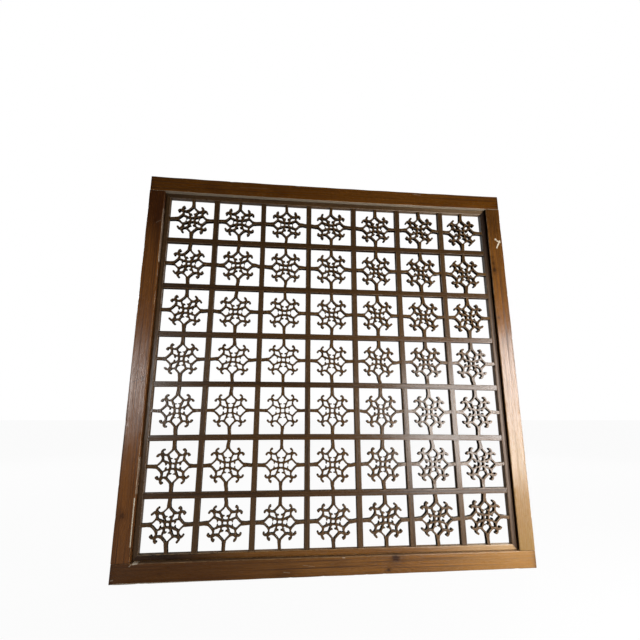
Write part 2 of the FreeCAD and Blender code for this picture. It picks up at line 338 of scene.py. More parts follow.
@dataclass
class Stick:
    """A straight stick of wood: a rounded section carried along a line.

    Attributes:
        run: Which way it runs.
        line: Its place across its run: Z for one that runs across, X for one that runs up.
        middle: The place along its run that its stations count from.
        stations: Its sections.
        seed: Seed of its small unevenness.
        taper: How much longer its line gets for each metre across it, as a share.
        planing: Height of the unevenness that a hand plane leaves.
        dents: Knocks and chips.
        columns: Points between the rounded edges, on the sides and on the front and back.
        grime_ends: How far along from each end the grime reaches.
        walls: How much painted shade darkens its high side and its low side, from 0 to 1.
    """

    run: Run
    line: float
    middle: float
    stations: Stations
    seed: int
    taper: float = 0.0
    planing: float = 0.06 * MM
    dents: tuple[Dent, ...] = ()
    columns: tuple[int, int] = (3, 7)
    grime_ends: float = 12 * MM
    walls: tuple[float, float] = (0.0, 0.0)

    ARC_STEPS = 4
    GRAIN_STEP = 1.37
    PLANING_LENGTH = 45 * MM
    END_KEPT = 1 * MM
    EDGE_WEAR = 0.35
    CAP_STATE = (0.0, 1.0, 0.6)

    def skin(self) -> Skin:
        """Carry the section along the stations and close both ends.

        Each ring goes round the section: at a corner, the point is the corner's centre plus
        the radius times (cos t, sin t), and between corners it is a mix of the two arcs' ends.
        Each stick's grain is moved along, so that it is cut out of other wood.

        Returns:
            The stick's skin, in its place in the panel.
        """
        # sawn here is the painted shade of the side walls; the ends get their sawn end grain
        # from CAP_STATE.
        ring, normal, wear, sawn = self._rings()
        count, around = ring.shape[:2]
        stations = self.stations.along
        along = stations[:, None] * (1 + self.taper * ring[..., 0])
        places = np.stack([along, ring[..., 0], ring[..., 1]], -1)
        from_end = np.minimum(stations - stations[0], stations[-1] - stations)
        uneven = self.planing * (0.5 + 0.4 * waves(places, self.seed, self.PLANING_LENGTH))
        uneven = np.clip(uneven, 0, None) * (from_end > self.END_KEPT)[:, None]
        for dent in self.dents:
            uneven = uneven + dent.press(places)
        places[..., 1:] -= uneven[..., None] * normal
        grime = np.exp(-np.minimum(along - along.min(), along.max() - along) / self.grime_ends)
        state = np.stack([wear, sawn, grime], -1).reshape(-1, 3)
        places = np.concatenate([places.reshape(-1, 3), places[[0, -1]].mean(1)])
        state = np.concatenate([state, [self.CAP_STATE] * 2])
        quads, triangles = self._faces(count, around)
        grain = places + np.array([self.seed * self.GRAIN_STEP, 0.0, 0.0])
        return Skin(self._placed(places), quads, triangles, grain, state).outward()

    def _rings(self) -> tuple[Array, Array, Array, Array]:
        """Each ring's points, the way out of the wood there, how worn it is and how much painted
        shade its side walls take.

        Returns:
            Four arrays, with a row for each ring and a column for each point.
        """
        at = self.stations
        turns = np.linspace(0, np.pi / 2, self.ARC_STEPS + 1)
        angles = -np.pi / 2 + np.pi / 2 * np.arange(4)[:, None] + turns
        out = np.stack([np.cos(angles), np.sin(angles)], -1)
        across = np.stack([at.high, at.high, at.low, at.low], 1)
        through = np.stack([at.front, at.back, at.back, at.front], 1)
        radius = np.stack([at.front_round[:, 0], at.back_round[:, 0], at.back_round[:, 1],
                           at.front_round[:, 1]], 1)
        signs = np.array([(1, -1), (1, 1), (-1, 1), (-1, -1)])
        centres = np.stack([across, through], -1) - signs * radius[..., None]
        arcs = centres[:, :, None] + radius[..., None, None] * out
        rub = np.sin(2 * turns) ** 0.5
        parts, ways, wears, wall_shades = [], [], [], []
        wall_shade_sides = (self.walls[0], 0.0, self.walls[1], 0.0)
        for corner in range(4):
            share_count = self.columns[corner % 2]
            share = (1 - np.cos(np.pi * np.arange(1, share_count + 1) / (share_count + 1))) / 2
            start, end = arcs[:, corner, -1], arcs[:, (corner + 1) % 4, 0]
            parts += [arcs[:, corner],
                      start[:, None] * (1 - share[:, None]) + end[:, None] * share[:, None]]
            ways += [out[corner], np.repeat(out[corner, -1:], share_count, 0)]
            wears += [self.EDGE_WEAR + (1 - self.EDGE_WEAR) * rub, np.zeros(share_count)]
            wall_shades += [np.zeros(len(rub)), np.full(share_count, wall_shade_sides[corner])]
        ring = np.concatenate(parts, 1)
        normal = np.broadcast_to(np.concatenate(ways), ring.shape)
        wear, wall_shade = (np.broadcast_to(np.concatenate(rows), ring.shape[:2])
                     for rows in (wears, wall_shades))
        return ring, normal, wear, wall_shade

    @staticmethod
    def _faces(count: int, around: int) -> tuple[Array, Array]:
        """Quads between neighbouring rings, and a fan over each end.

        Args:
            count: How many rings there are.
            around: How many points a ring has.

        Returns:
            The quads and the triangles.
        """
        numbers = np.arange(count * around).reshape(count, around)
        after = np.roll(numbers, -1, 1)
        quads = np.stack([numbers[:-1], after[:-1], after[1:], numbers[1:]], -1).reshape(-1, 4)
        first = np.stack([after[0], numbers[0], np.full(around, count * around)], -1)
        last = np.stack([numbers[-1], after[-1], np.full(around, count * around + 1)], -1)
        return quads, np.concatenate([first, last])

    def _placed(self, places: Array) -> Array:
        """Places along, across and through the stick, in the panel's own directions.

        Args:
            places: The places, one row each.

        Returns:
            The same places in the panel.
        """
        along, across, through = places.T
        if self.run is Run.ACROSS:
            return np.stack([self.middle + along, through, self.line + across], -1)
        return np.stack([self.line + across, through, self.middle + along], -1)


# The panel's main lines


@dataclass
class Lines:
    """The panel's main lines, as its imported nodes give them.

    Attributes:
        half_width: Half the panel's width.
        middle: Height of its middle.
        frame_front: Front level of the frame.
        frame_back: Its back level.
        half_inside: Half the frame's opening.
        half_lattice: Half the border's opening.
        front: Front level of the lattice.
        back: Its back level.
        bar_width: Width of a bar.
        bars: The bars' centre lines, from the panel's middle.
        cells: The cells' centre lines, from the panel's middle.
    """

    half_width: float = field(init=False)
    middle: float = field(init=False)
    frame_front: float = field(init=False)
    frame_back: float = field(init=False)
    half_inside: float = field(init=False)
    half_lattice: float = field(init=False)
    front: float = field(init=False)
    back: float = field(init=False)
    bar_width: float = field(init=False)
    bars: Array = field(init=False)
    cells: Array = field(init=False)

    def __post_init__(self) -> None:
        """Read the boxes of the nodes."""
        rail_low, rail_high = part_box("bottom_rail")
        top_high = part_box("top_rail")[1]
        border_low, border_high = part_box("border_bottom")
        self.half_width = rail_high.x
        self.middle = top_high.z / 2
        self.frame_front, self.frame_back = rail_low.y, rail_high.y
        self.half_inside = self.middle - rail_high.z
        self.half_lattice = self.middle - border_high.z
        self.front, self.back = border_low.y, border_high.y
        boxes = [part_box(f"upright_bar_{number}") for number in range(1, BARS + 1)]
        self.bars = np.array([(low.x + high.x) / 2 for low, high in boxes])
        self.bar_width = boxes[0][1].x - boxes[0][0].x
        pitch = (self.bars[-1] - self.bars[0]) / (BARS - 1)
        self.cells = np.append(self.bars - pitch / 2, self.bars[-1] + pitch / 2)

    @property
    def half_board(self) -> float:
        """Half the width of a frame board."""
        return (self.half_width - self.half_inside) / 2

    @property
    def board_line(self) -> float:
        """From the panel's middle to the middle line of a frame board."""
        return (self.half_width + self.half_inside) / 2

    @property
    def bar_reach(self) -> float:
        """From a cell's middle to the bar beside it."""
        return (self.cells[1] - self.cells[0] - self.bar_width) / 2

    @property
    def border_reach(self) -> float:
        """From an outermost cell's middle to the border."""
        return self.half_lattice - self.cells[-1]


@dataclass(frozen=True)
class Stray:
    """How far a line that should be straight has strayed, in millimetres.

    With t the place along the line over half the panel's width, it strays by
    shift + lean * t + bow * (1 - t * t) + wave * t * (1 - t * t).
    """

    shift: float = 0.0
    lean: float = 0.0
    bow: float = 0.0
    wave: float = 0.0

    def at(self, t: Array) -> Array:
        """How far it has strayed at each place."""
        swell = 1 - t * t
        return self.shift + self.lean * t + self.bow * swell + self.wave * t * swell


@dataclass
class HandFit:
    """How far the hand-joined panel has strayed from true, as one smooth shift of its wood.

    Between two neighbouring lines the shift is a mix of theirs, so that joints stay closed.

    Attributes:
        lines: The panel's main lines.
        uprights: How far the lines that run up stray to the right, from the left outer edge
            over the border's opening and the six bars to the right outer edge.
        crosses: How far the lines that run across stray upwards, from the bottom to the top.
        forward: How far the lattice stands forward at its right side, and not at its left.
    """

    lines: Lines
    uprights: tuple[Stray, ...] = tuple(Stray(*row) for row in (
        (0.3, -0.3, 0.0, 0.0), (-0.1, -0.5, -0.5, 0.5), (-1.4, 0.5, 1.0, 1.2),
        (-0.4, 0.1, 1.3, 0.5), (0.1, -0.4, -0.5, -0.5), (0.6, -0.5, -2.2, -0.8),
        (1.1, -1.1, -3.1, -2.1), (1.9, -0.6, -2.6, -1.9), (0.0, -0.2, -0.1, -0.2),
        (-0.6, 0.6, 0.0, 0.0),
    ))
    crosses: tuple[Stray, ...] = tuple(Stray(*row) for row in (
        (0.0, 0.0, 0.3, 0.0), (-1.1, -1.3, 0.5, -0.6), (-1.7, -0.7, -0.4, -0.4),
        (-2.0, -1.4, 3.1, -0.5), (-0.7, -1.1, 2.6, -0.3), (-0.4, -0.3, 0.2, 0.0),
        (-0.3, -0.3, -0.5, -0.1), (0.8, 0.2, -0.9, 0.3), (-0.8, 0.0, -2.6, 0.3),
        (0.0, 0.0, -2.2, 0.0),
    ))
    forward: float = 2.0

    def settled(self, skin: Skin, in_frame: bool = False) -> Skin:
        """Move a skin's points by the strays where they are.

        Args:
            skin: The skin, which is changed.
            in_frame: Whether it is one of the frame's boards, which don't stand forward.

        Returns:
            The same skin.
        """
        places = skin.points.copy()
        half = self.lines.half_width
        across, up = places[:, 0], places[:, 2] - self.lines.middle
        skin.points[:, 0] += self._mixed(self.uprights, across, up / half) * MM
        skin.points[:, 2] += self._mixed(self.crosses, up, across / half) * MM
        if not in_frame:
            skin.points[:, 1] -= self.forward * MM * (0.5 + 0.5 * across / half)
        return skin

    def _mixed(self, strays: tuple[Stray, ...], place: Array, t: Array) -> Array:
        """The strays of the two lines beside each place, mixed by how near they are.

        Args:
            strays: The strays of the lines.
            place: Places across the lines.
            t: Places along them, over half the panel's width.

        Returns:
            The stray at each place.
        """
        edge, opening = self.lines.half_width, self.lines.half_lattice
        knots = np.concatenate([[-edge, -opening], self.lines.bars, [opening, edge]])
        rows = np.stack([stray.at(t) for stray in strays])
        right = np.clip(np.searchsorted(knots, place), 1, len(knots) - 1)
        share = np.clip((place - knots[right - 1]) / (knots[right] - knots[right - 1]), 0, 1)
        which = np.arange(len(place))
        return rows[right - 1, which] * (1 - share) + rows[right, which] * share


# Finishes


class Value:
    """A number that varies over a surface: a shader socket that takes part in sums."""

    def __init__(self, recipe: "Recipe", socket: bpy.types.NodeSocket) -> None:
        """Keep the socket, and the recipe that its node belongs to."""
        self.recipe = recipe
        self.socket = socket

    def _maths(self, operation: str, *terms: "Value | float") -> "Value":
        """A Math node on the terms, in their order."""
        node = self.recipe.node("ShaderNodeMath", {"operation": operation},
                                dict(enumerate(terms)))
        return Value(self.recipe, node.outputs[0])

    def __add__(self, other: "Value | float") -> "Value":
        """This plus the other."""
        return self._maths("ADD", self, other)

    __radd__ = __add__

    def __sub__(self, other: "Value | float") -> "Value":
        """This less the other."""
        return self._maths("SUBTRACT", self, other)

    def __rsub__(self, other: float) -> "Value":
        """The other less this."""
        return self._maths("SUBTRACT", other, self)

    def __mul__(self, other: "Value | float") -> "Value":
        """This times the other."""
        return self._maths("MULTIPLY", self, other)

    __rmul__ = __mul__

    def __truediv__(self, other: "Value | float") -> "Value":
        """This divided by the other."""
        return self._maths("DIVIDE", self, other)

    def root(self) -> "Value":
        """The square root."""
        return self._maths("SQRT", self)

    def whole(self) -> "Value":
        """The whole part."""
        return self._maths("FLOOR", self)

    def part(self) -> "Value":
        """What is left of the whole part."""
        return self._maths("FRACT", self)

    def most(self, other: "Value | float") -> "Value":
        """The larger of the two."""
        return self._maths("MAXIMUM", self, other)

    def least(self, other: "Value | float") -> "Value":
        """The smaller of the two."""
        return self._maths("MINIMUM", self, other)

    def step(self, low: float, high: float) -> "Value":
        """A smooth step from 0 at low to 1 at high."""
        node = self.recipe.node(
            "ShaderNodeMapRange", {"interpolation_type": "SMOOTHSTEP"},
            {"Value": self, "From Min": low, "From Max": high},
        )
        return Value(self.recipe, node.outputs[0])


class Recipe:
    """The nodes of a material or a world, with the few kinds of step that the woods need."""

    def __init__(self, owner: bpy.types.Material | bpy.types.World, output: str) -> None:
        """Start with nothing but the output node."""
        owner.use_nodes = True
        self.tree = owner.node_tree
        self.tree.nodes.clear()
        self.output = self.tree.nodes.new(output)

    def finish(self, shader: bpy.types.Node) -> None:
        """Send a shader to the output."""
        self.tree.links.new(shader.outputs[0], self.output.inputs[0])

    def node(self, kind: str, settings: dict[str, object],
             inputs: dict[str | int, object]) -> bpy.types.Node:
        """Add a node.

        Args:
            kind: The node's type.
            settings: Its own settings, which are set first; "stops" fills a colour ramp.
            inputs: A value or a link for each socket, by name or number.

        Returns:
            The node.
        """
        node = self.tree.nodes.new(kind)
        for name, value in settings.items():
            if name == "stops":
                elements = node.color_ramp.elements
                while len(elements) < len(value):
                    elements.new(1.0)
                for element, (place, colour) in zip(elements, value):
                    element.position, element.color = place, (*colour, 1.0)
            else:
                setattr(node, name, value)
        for key, value in inputs.items():
            if isinstance(value, Value):
                self.tree.links.new(value.socket, node.inputs[key])
            elif isinstance(value, bpy.types.NodeSocket):
                self.tree.links.new(value, node.inputs[key])
            else:
                node.inputs[key].default_value = value
        return node

    def attribute(self, name: str) -> bpy.types.NodeSocket:
        """The vector that a mesh attribute holds."""
        return self.node("ShaderNodeAttribute", {"attribute_name": name}, {}).outputs["Vector"]

    def parts(self, vector: bpy.types.NodeSocket) -> tuple[Value, Value, Value]:
        """A vector's three parts."""
        node = self.node("ShaderNodeSeparateXYZ", {}, {0: vector})
        x, y, z = (Value(self, socket) for socket in node.outputs)
        return x, y, z

    def stretched(self, vector: bpy.types.NodeSocket, by: Colour,
                  shift: Colour = (0.0, 0.0, 0.0)) -> bpy.types.NodeSocket:
        """A vector times one factor for each direction, then moved."""
        node = self.node("ShaderNodeVectorMath", {"operation": "MULTIPLY_ADD"},
                         {0: vector, 1: by, 2: shift})
        return node.outputs[0]

    def noise(self, vector: bpy.types.NodeSocket, by: Colour, detail: float = 2.0,
              rough: float = 0.5, shift: Colour = (0.0, 0.0, 0.0)) -> Value:
        """Noise from 0 to 1, at so many lumps to the metre in each direction.

        Args:
            vector: Where in the noise a point lies, in metres.
            by: Lumps to the metre in each direction.
            detail: How many finer layers it has.
            rough: How much each finer layer counts.
            shift: How far the noise is moved.

        Returns:
            The noise.
        """
        node = self.node(
            "ShaderNodeTexNoise", {},
            {"Vector": self.stretched(vector, by, shift), "Scale": 1.0, "Detail": detail,
             "Roughness": rough},
        )
        return Value(self, node.outputs[0])

    def chance(self, value: Value) -> Value:
        """A random number from 0 to 1 for each whole value."""
        node = self.node("ShaderNodeTexWhiteNoise", {"noise_dimensions": "1D"}, {"W": value})
        return Value(self, node.outputs["Value"])

    def seen(self) -> Value:
        """Whether the camera looks straight at it: 1 if so, and else 0."""
        return Value(self, self.node("ShaderNodeLightPath", {}, {}).outputs["Is Camera Ray"])

    def mix(self, first: object, second: object,
            share: Value | float) -> bpy.types.NodeSocket:
        """Two colours mixed: the first where the share is 0, the second where it is 1.

        Args:
            first: A colour, or the socket of one.
            second: Another.
            share: How much of the second there is.

        Returns:
            The mixed colour's socket.
        """
        node = self.node("ShaderNodeMix", {"data_type": "RGBA", "clamp_factor": True},
                         {0: share, 6: self._colour(first), 7: self._colour(second)})
        return node.outputs[2]

    def shaded(self, colour: bpy.types.NodeSocket, by: Value) -> bpy.types.NodeSocket:
        """A colour times a number."""
        node = self.node("ShaderNodeVectorMath", {"operation": "SCALE"}, {0: colour, 3: by})
        return node.outputs[0]

    @staticmethod
    def _colour(colour: object) -> object:
        """A colour socket as it is, and three numbers with their fourth."""
        return (*colour, 1.0) if isinstance(colour, tuple) else colour


@dataclass(frozen=True)
class Knot:
    """A knot. Its place and size are in millimetres, from the board's middle.

    Attributes:
        along: Place along the board.
        across: Place across it.
        size: Radius of its dark heart.
        dark: How dark the heart is, from 0 to 1.
    """

    along: float
    across: float
    size: float
    dark: float


@dataclass(frozen=True)
class Mark:
    """A scratch, a chip, a crack or a painted highlight line: a thin stroke, in millimetres from
    the board's middle.

    Attributes:
        along: Where it starts, along the board.
        across: Where it starts, across the board.
        to_along: Where it ends, along the board.
        to_across: Where it ends, across the board.
        half_width: Half its width.
        pale: Whether it is pale, as bared wood and painted highlights are; a crack is dark.
        strength: How plainly it shows, from 0 to 1.
    """

    along: float
    across: float
    to_along: float
    to_across: float
    half_width: float
    pale: bool
    strength: float


@dataclass(frozen=True)
class PaintedLightFade:
    """A slow change of colour along a board that paints light and shade onto it: from none at
    the start to all at the end.

    Attributes:
        start: Where it starts, in millimetres along the board from its middle.
        end: Where it is complete.
        colour: The colour that it changes to.
        share: How much of that colour there is at its end.
    """

    start: float
    end: float
    colour: Colour
    share: float


@dataclass(frozen=True)
class Stain:
    """The colours that a stained, varnished and worn softwood takes on.

    Attributes:
        early: The soft wood between the rings.
        late: The hard, dark line of each ring.
        deep: Where the stain has pooled.
        worn: Where it has been rubbed off.
        sawn: End grain and sawn walls, which drink the stain, and painted shade on the side
            walls of stiles, bars and rosettes.
        dust: Dust that has settled; on faces that point down it also paints light from below.
        bared: Bare wood in a scratch or a chip, and painted highlight lines along an arris.
    """

    early: Colour
    late: Colour
    deep: Colour
    worn: Colour = (0.40, 0.22, 0.08)
    sawn: Colour = (0.040, 0.014, 0.003)
    dust: Colour = (0.30, 0.24, 0.17)
    bared: Colour = (0.78, 0.68, 0.52)


@dataclass(frozen=True)
class Wood:
    """A stained softwood finish: growth rings in the solid, knots, wear, dust and varnish.

    Attributes:
        stain: Its colours.
        ring: Width of one year's growth.
        gloss: Roughness of the sound varnish.
        wear: How much of the edges has been rubbed bare; on the rosettes this strong edge wear
            also paints highlights.
        dusty: How much dust lies on what faces up.
        under: How much faces that point down are lightened, with pale dust and painted light
            from below.
        knots: Its knots.
        marks: Its scratches, chips and cracks, and painted highlight lines.
        fades: Its painted light and shade: slow changes of colour along it.
    """

    stain: Stain
    ring: float = 2.6 * MM
    gloss: float = 0.27
    wear: float = 0.5
    dusty: float = 0.3
    under: float = 0.0
    knots: tuple[Knot, ...] = ()
    marks: tuple[Mark, ...] = ()
    fades: tuple[PaintedLightFade, ...] = ()

    # Lumps to the metre along, across and through the grain, then detail, roughness and shift.
    NOISES = {
        "fibre": ((10.0, 800.0, 800.0), 3.0, 0.62),
        "streak": ((3.2, 210.0, 210.0), 3.0, 0.6),
        "band": ((1.6, 60.0, 60.0), 2.0, 0.5, (3.0, 1.0, 5.0)),
        "blotch": ((9.0, 28.0, 28.0), 3.0, 0.55),
        "patch": ((110.0, 180.0, 180.0), 3.0, 0.65),
        "pore": ((70.0, 1500.0, 1500.0), 1.0, 0.5, (1.0, 9.0, 4.0)),
        "line": ((2.6, 330.0, 330.0), 2.0, 0.5, (2.0, 6.0, 3.0)),
        "drift": ((1.3, 2.0, 2.0), 1.0),
        "sway": ((1.1, 2.0, 2.0), 1.0, 0.5, (7.0, 3.0, 1.0)),
        "wobble": ((12.0, 70.0, 70.0), 2.0),
        "ragged stroke": ((420.0, 600.0, 600.0), 2.0, 0.6, (4.0, 2.0, 8.0)),
        "ragged knot": ((260.0, 380.0, 380.0), 2.0),
    }
    PITH_ACROSS = 0.062
    PITH_THROUGH = 0.085
    PITH_WANDER = 0.02
    RING_WOBBLE = 1.0 * MM
    BUMP_HEIGHT = 0.35 * MM
    FRONT_HALF = 3 * MM
    KNOT_LENGTH = 1.3

    def _noise(self, recipe: Recipe, grain: bpy.types.NodeSocket, name: str) -> Value:
        """One of the noises, from 0 to 1."""
        return recipe.noise(grain, *self.NOISES[name])

    def material(self, name: str, middle: float = 0.0) -> bpy.types.Material:
        """Build the material.

        The rings are shells round the tree's pith, which wanders: ring number = distance from
        the pith / ring width. So a face shows long arches, and an end shows the rings' arcs.

        Args:
            name: Its name.
            middle: Where the board's middle lies along the grain.

        Returns:
            The material.
        """
        material = bpy.data.materials.new(name)
        recipe = Recipe(material, "ShaderNodeOutputMaterial")
        grain = recipe.attribute("grain")
        worn, sawn, grime = recipe.parts(recipe.attribute("state"))
        knot, swirl = self._knots(recipe, grain, middle)
        late, bold = self._rings(recipe, grain, swirl)
        fibre, streak, band, blotch, patch, pore, line = (
            self._noise(recipe, grain, kind)
            for kind in ("fibre", "streak", "band", "blotch", "patch", "pore", "line"))
        pore, line = pore.step(0.62, 0.74), line.step(0.54, 0.66)

        tone = late * 0.32 + (fibre - 0.5) * 1.0 + (streak - 0.5) * 1.6 + 0.2
        colour = recipe.mix(self.stain.early, self.stain.late, tone)
        colour = recipe.shaded(colour, 0.22 + streak * 0.60 + band * 0.70 + blotch * 0.35)
        for share in (line * (0.3 + blotch * 0.8), blotch.step(0.50, 0.80) * 0.5, pore * 0.35):
            colour = recipe.mix(colour, self.stain.deep, share)
        # Painted light and shade: the fades lighten a board towards where it stands lit and
        # darken it towards where it lies in shade.
        for light_fade in self.fades:
            start, run = middle + light_fade.start * MM, (light_fade.end - light_fade.start) * MM
            gone = recipe.parts(grain)[0] / run - start / run
            share = gone.step(0.0, 1.0) * (0.45 + blotch * 1.1) * light_fade.share
            colour = recipe.mix(colour, light_fade.colour, share)
        colour = recipe.mix(colour, self.stain.deep, knot)
        # End grain and sawn walls darken here, and the side walls of stiles, bars and rosettes
        # take painted shade.
        colour = recipe.mix(colour, self.stain.sawn, sawn)
        muck = (grime * (0.35 + patch)).step(0.25, 0.95) * 0.6
        colour = recipe.mix(colour, self.stain.deep, muck)
        # Rubbed edges show paler wood; on the rosettes this edge wear also paints highlights.
        bare = (worn * (0.25 + patch * 1.1)).step(0.72 - 0.4 * self.wear, 1.15 - 0.4 * self.wear)
        colour = recipe.mix(colour, self.stain.worn, bare * 0.6)
        facing = recipe.parts(recipe.node("ShaderNodeNewGeometry", {}, {}).outputs["Normal"])[2]
        settled = facing.step(0.35, 0.95) * (0.35 + patch * 0.9) * self.dusty
        # Faces that point down are lightened with pale dust and painted light from below.
        if self.under:
            settled = settled + (0 - facing).step(0.55, 0.95) * (0.3 + streak) * self.under
        colour = recipe.mix(colour, self.stain.dust, settled)
        # Pale marks show bared wood, and some are painted highlights along an arris; dark marks
        # show cracks.
        for pale in (False, True):
            shown = self._marks(recipe, grain, middle, pale)
            if isinstance(shown, Value):
                colour = recipe.mix(colour, self.stain.bared if pale else self.stain.deep, shown)

        rough = self.gloss + (fibre - 0.5) * 0.2 + (patch - 0.5) * 0.12 + (streak - 0.5) * 0.25
        rough = rough + line * 0.07 + settled * 0.25 + sawn * 0.7 + bare * 0.12
        height = late * 0.30 + fibre * 0.65 + patch * 0.14 + streak * 0.35 - knot * 0.4
        height = height - pore * 0.4 - line * 0.25 + bold * 0.05
        bump = recipe.node("ShaderNodeBump", {}, {
            "Strength": 0.45, "Distance": self.BUMP_HEIGHT, "Height": height})
        varnished, matt = (
            recipe.node("ShaderNodeBsdfPrincipled", {},
                        {"Base Color": colour, "Normal": bump.outputs[0], **own}).outputs[0]
            for own in ({"Roughness": rough, "IOR": 1.5},
                        {"Roughness": 0.95, "Specular IOR Level": 0.05}))
        recipe.finish(recipe.node("ShaderNodeMixShader", {}, {0: sawn, 1: varnished, 2: matt}))
        return material

    def _rings(self, recipe: Recipe, grain: bpy.types.NodeSocket,
               swirl: Value | float) -> tuple[Value, Value]:
        """The late wood of the rings, and a broad light and dark from ring to ring.

        Args:
            recipe: The material's nodes.
            grain: The wood's own directions.
            swirl: How far the rings swing round the knots.

        Returns:
            The late wood and the light.
        """
        _, across, through = recipe.parts(grain)
        drift, sway, wobble = (self._noise(recipe, grain, name) - 0.5
                               for name in ("drift", "sway", "wobble"))
        aside = across - self.PITH_ACROSS - sway * self.PITH_WANDER
        behind = through - self.PITH_THROUGH - drift * self.PITH_WANDER
        distance = (aside * aside + behind * behind).root()
        number = (distance + wobble * self.RING_WOBBLE + swirl) / self.ring
        bold = recipe.chance(number.whole())
        edge = number.part()
        late = edge.step(0.25, 0.88) * (1 - edge.step(0.90, 1.0)) * (0.25 + bold * 0.75)
        return late, bold

    def _marks(self, recipe: Recipe, grain: bpy.types.NodeSocket, middle: float,
               pale: bool) -> Value | float:
        """Where the pale or the dark marks are: near to a line, on the wood's front half.

        Each is a stroke: with the share of its run that lies beside a place kept from 0 to 1,
        the distance from there to the place, over half the stroke's width, is under about 1.

        Args:
            recipe: The material's nodes.
            grain: The wood's own directions.
            middle: Where the board's middle lies along the grain.
            pale: Whether it looks for the pale marks or for the dark ones.

        Returns:
            How much of a mark there is, or a plain 0 if there are none.
        """
        along, across, through = recipe.parts(grain)
        front = (0 - through).step(0.0, self.FRONT_HALF)
        ragged = self._noise(recipe, grain, "ragged stroke") - 0.5
        shown: Value | float = 0.0
        for mark in self.marks:
            if mark.pale is not pale:
                continue
            forth, aside = along - (middle + mark.along * MM), across - mark.across * MM
            run, rise = (mark.to_along - mark.along) * MM, (mark.to_across - mark.across) * MM
            span = run * run + rise * rise
            share = (forth * (run / span) + aside * (rise / span)).most(0.0).least(1.0)
            off_along, off_across = forth - share * run, aside - share * rise
            away = (off_along * off_along + off_across * off_across).root()
            away = away / (mark.half_width * MM)
            stroke = (1 - (away + ragged * 1.6).step(0.6, 1.15)) * mark.strength * front
            shown = stroke if isinstance(shown, float) else shown.most(stroke)
        return shown

    def _knots(self, recipe: Recipe, grain: bpy.types.NodeSocket,
               middle: float) -> tuple[Value | float, Value | float]:
        """Where the knots are, and how far the rings swing round them.

        Args:
            recipe: The material's nodes.
            grain: The wood's own directions.
            middle: Where the board's middle lies along the grain.

        Returns:
            How dark the knots are and how far the rings swing, or two plain zeros.
        """
        along, across, _ = recipe.parts(grain)
        ragged = self._noise(recipe, grain, "ragged knot") - 0.5
        spot: Value | float = 0.0
        swirl: Value | float = 0.0
        for knot in self.knots:
            size = knot.size * MM
            forth = (along - (middle + knot.along * MM)) / self.KNOT_LENGTH
            aside = across - knot.across * MM
            far = (forth * forth + aside * aside).root() / size + ragged * 0.9
            heart = (1 - far.step(0.35, 1.1)) * knot.dark
            halo = (1 - far.step(0.8, 2.4)) * (knot.dark * 0.35)
            spot = heart.most(halo) if isinstance(spot, float) else spot.most(heart).most(halo)
            swing = (1 - far.step(0.0, 5.0)) * (size * 0.9)
            swirl = swing if isinstance(swirl, float) else swirl + swing
        return spot, swirl


# Near black: the colour of sawn wood, deepened as painted shade for the side walls of the bars
# and the rosettes.
BLACK_SAWN_AND_SHADE = (0.005, 0.0025, 0.0015)
GREY_DUST = (0.22, 0.17, 0.12)
PINE = Stain((0.200, 0.072, 0.008), (0.085, 0.022, 0.001), (0.050, 0.013, 0.001))
# The sawn colours of RED_PINE and OLD_PINE also paint the shade on the left and right stiles'
# inner walls.
RED_PINE = Stain((0.245, 0.088, 0.017), (0.066, 0.019, 0.002), (0.045, 0.012, 0.001),
                 sawn=(0.040, 0.016, 0.006))
OLD_PINE = Stain((0.195, 0.075, 0.013), (0.055, 0.017, 0.002), (0.035, 0.012, 0.002),
                 (0.40, 0.24, 0.11), (0.018, 0.007, 0.003))
GOLD_PINE = Stain((0.245, 0.100, 0.018), (0.036, 0.011, 0.001), (0.034, 0.010, 0.001),
                  (0.42, 0.25, 0.10))
DARK_PINE = Stain((0.108, 0.056, 0.021), (0.038, 0.018, 0.006), (0.020, 0.008, 0.002),
                  (0.26, 0.17, 0.10), BLACK_SAWN_AND_SHADE, GREY_DUST)
BROWN_PINE = Stain((0.090, 0.043, 0.014), (0.034, 0.015, 0.004), (0.019, 0.008, 0.002),
                   (0.28, 0.18, 0.10), BLACK_SAWN_AND_SHADE, GREY_DUST)
TAN_PINE = Stain((0.118, 0.060, 0.020), (0.040, 0.018, 0.005), (0.022, 0.009, 0.002),
                 (0.32, 0.22, 0.13), BLACK_SAWN_AND_SHADE, (0.24, 0.19, 0.13))
BARE_PINE = Stain((0.50, 0.36, 0.20), (0.32, 0.19, 0.09), (0.20, 0.12, 0.06),
                  (0.60, 0.46, 0.30), (0.38, 0.26, 0.14), (0.45, 0.40, 0.34))


# The frame


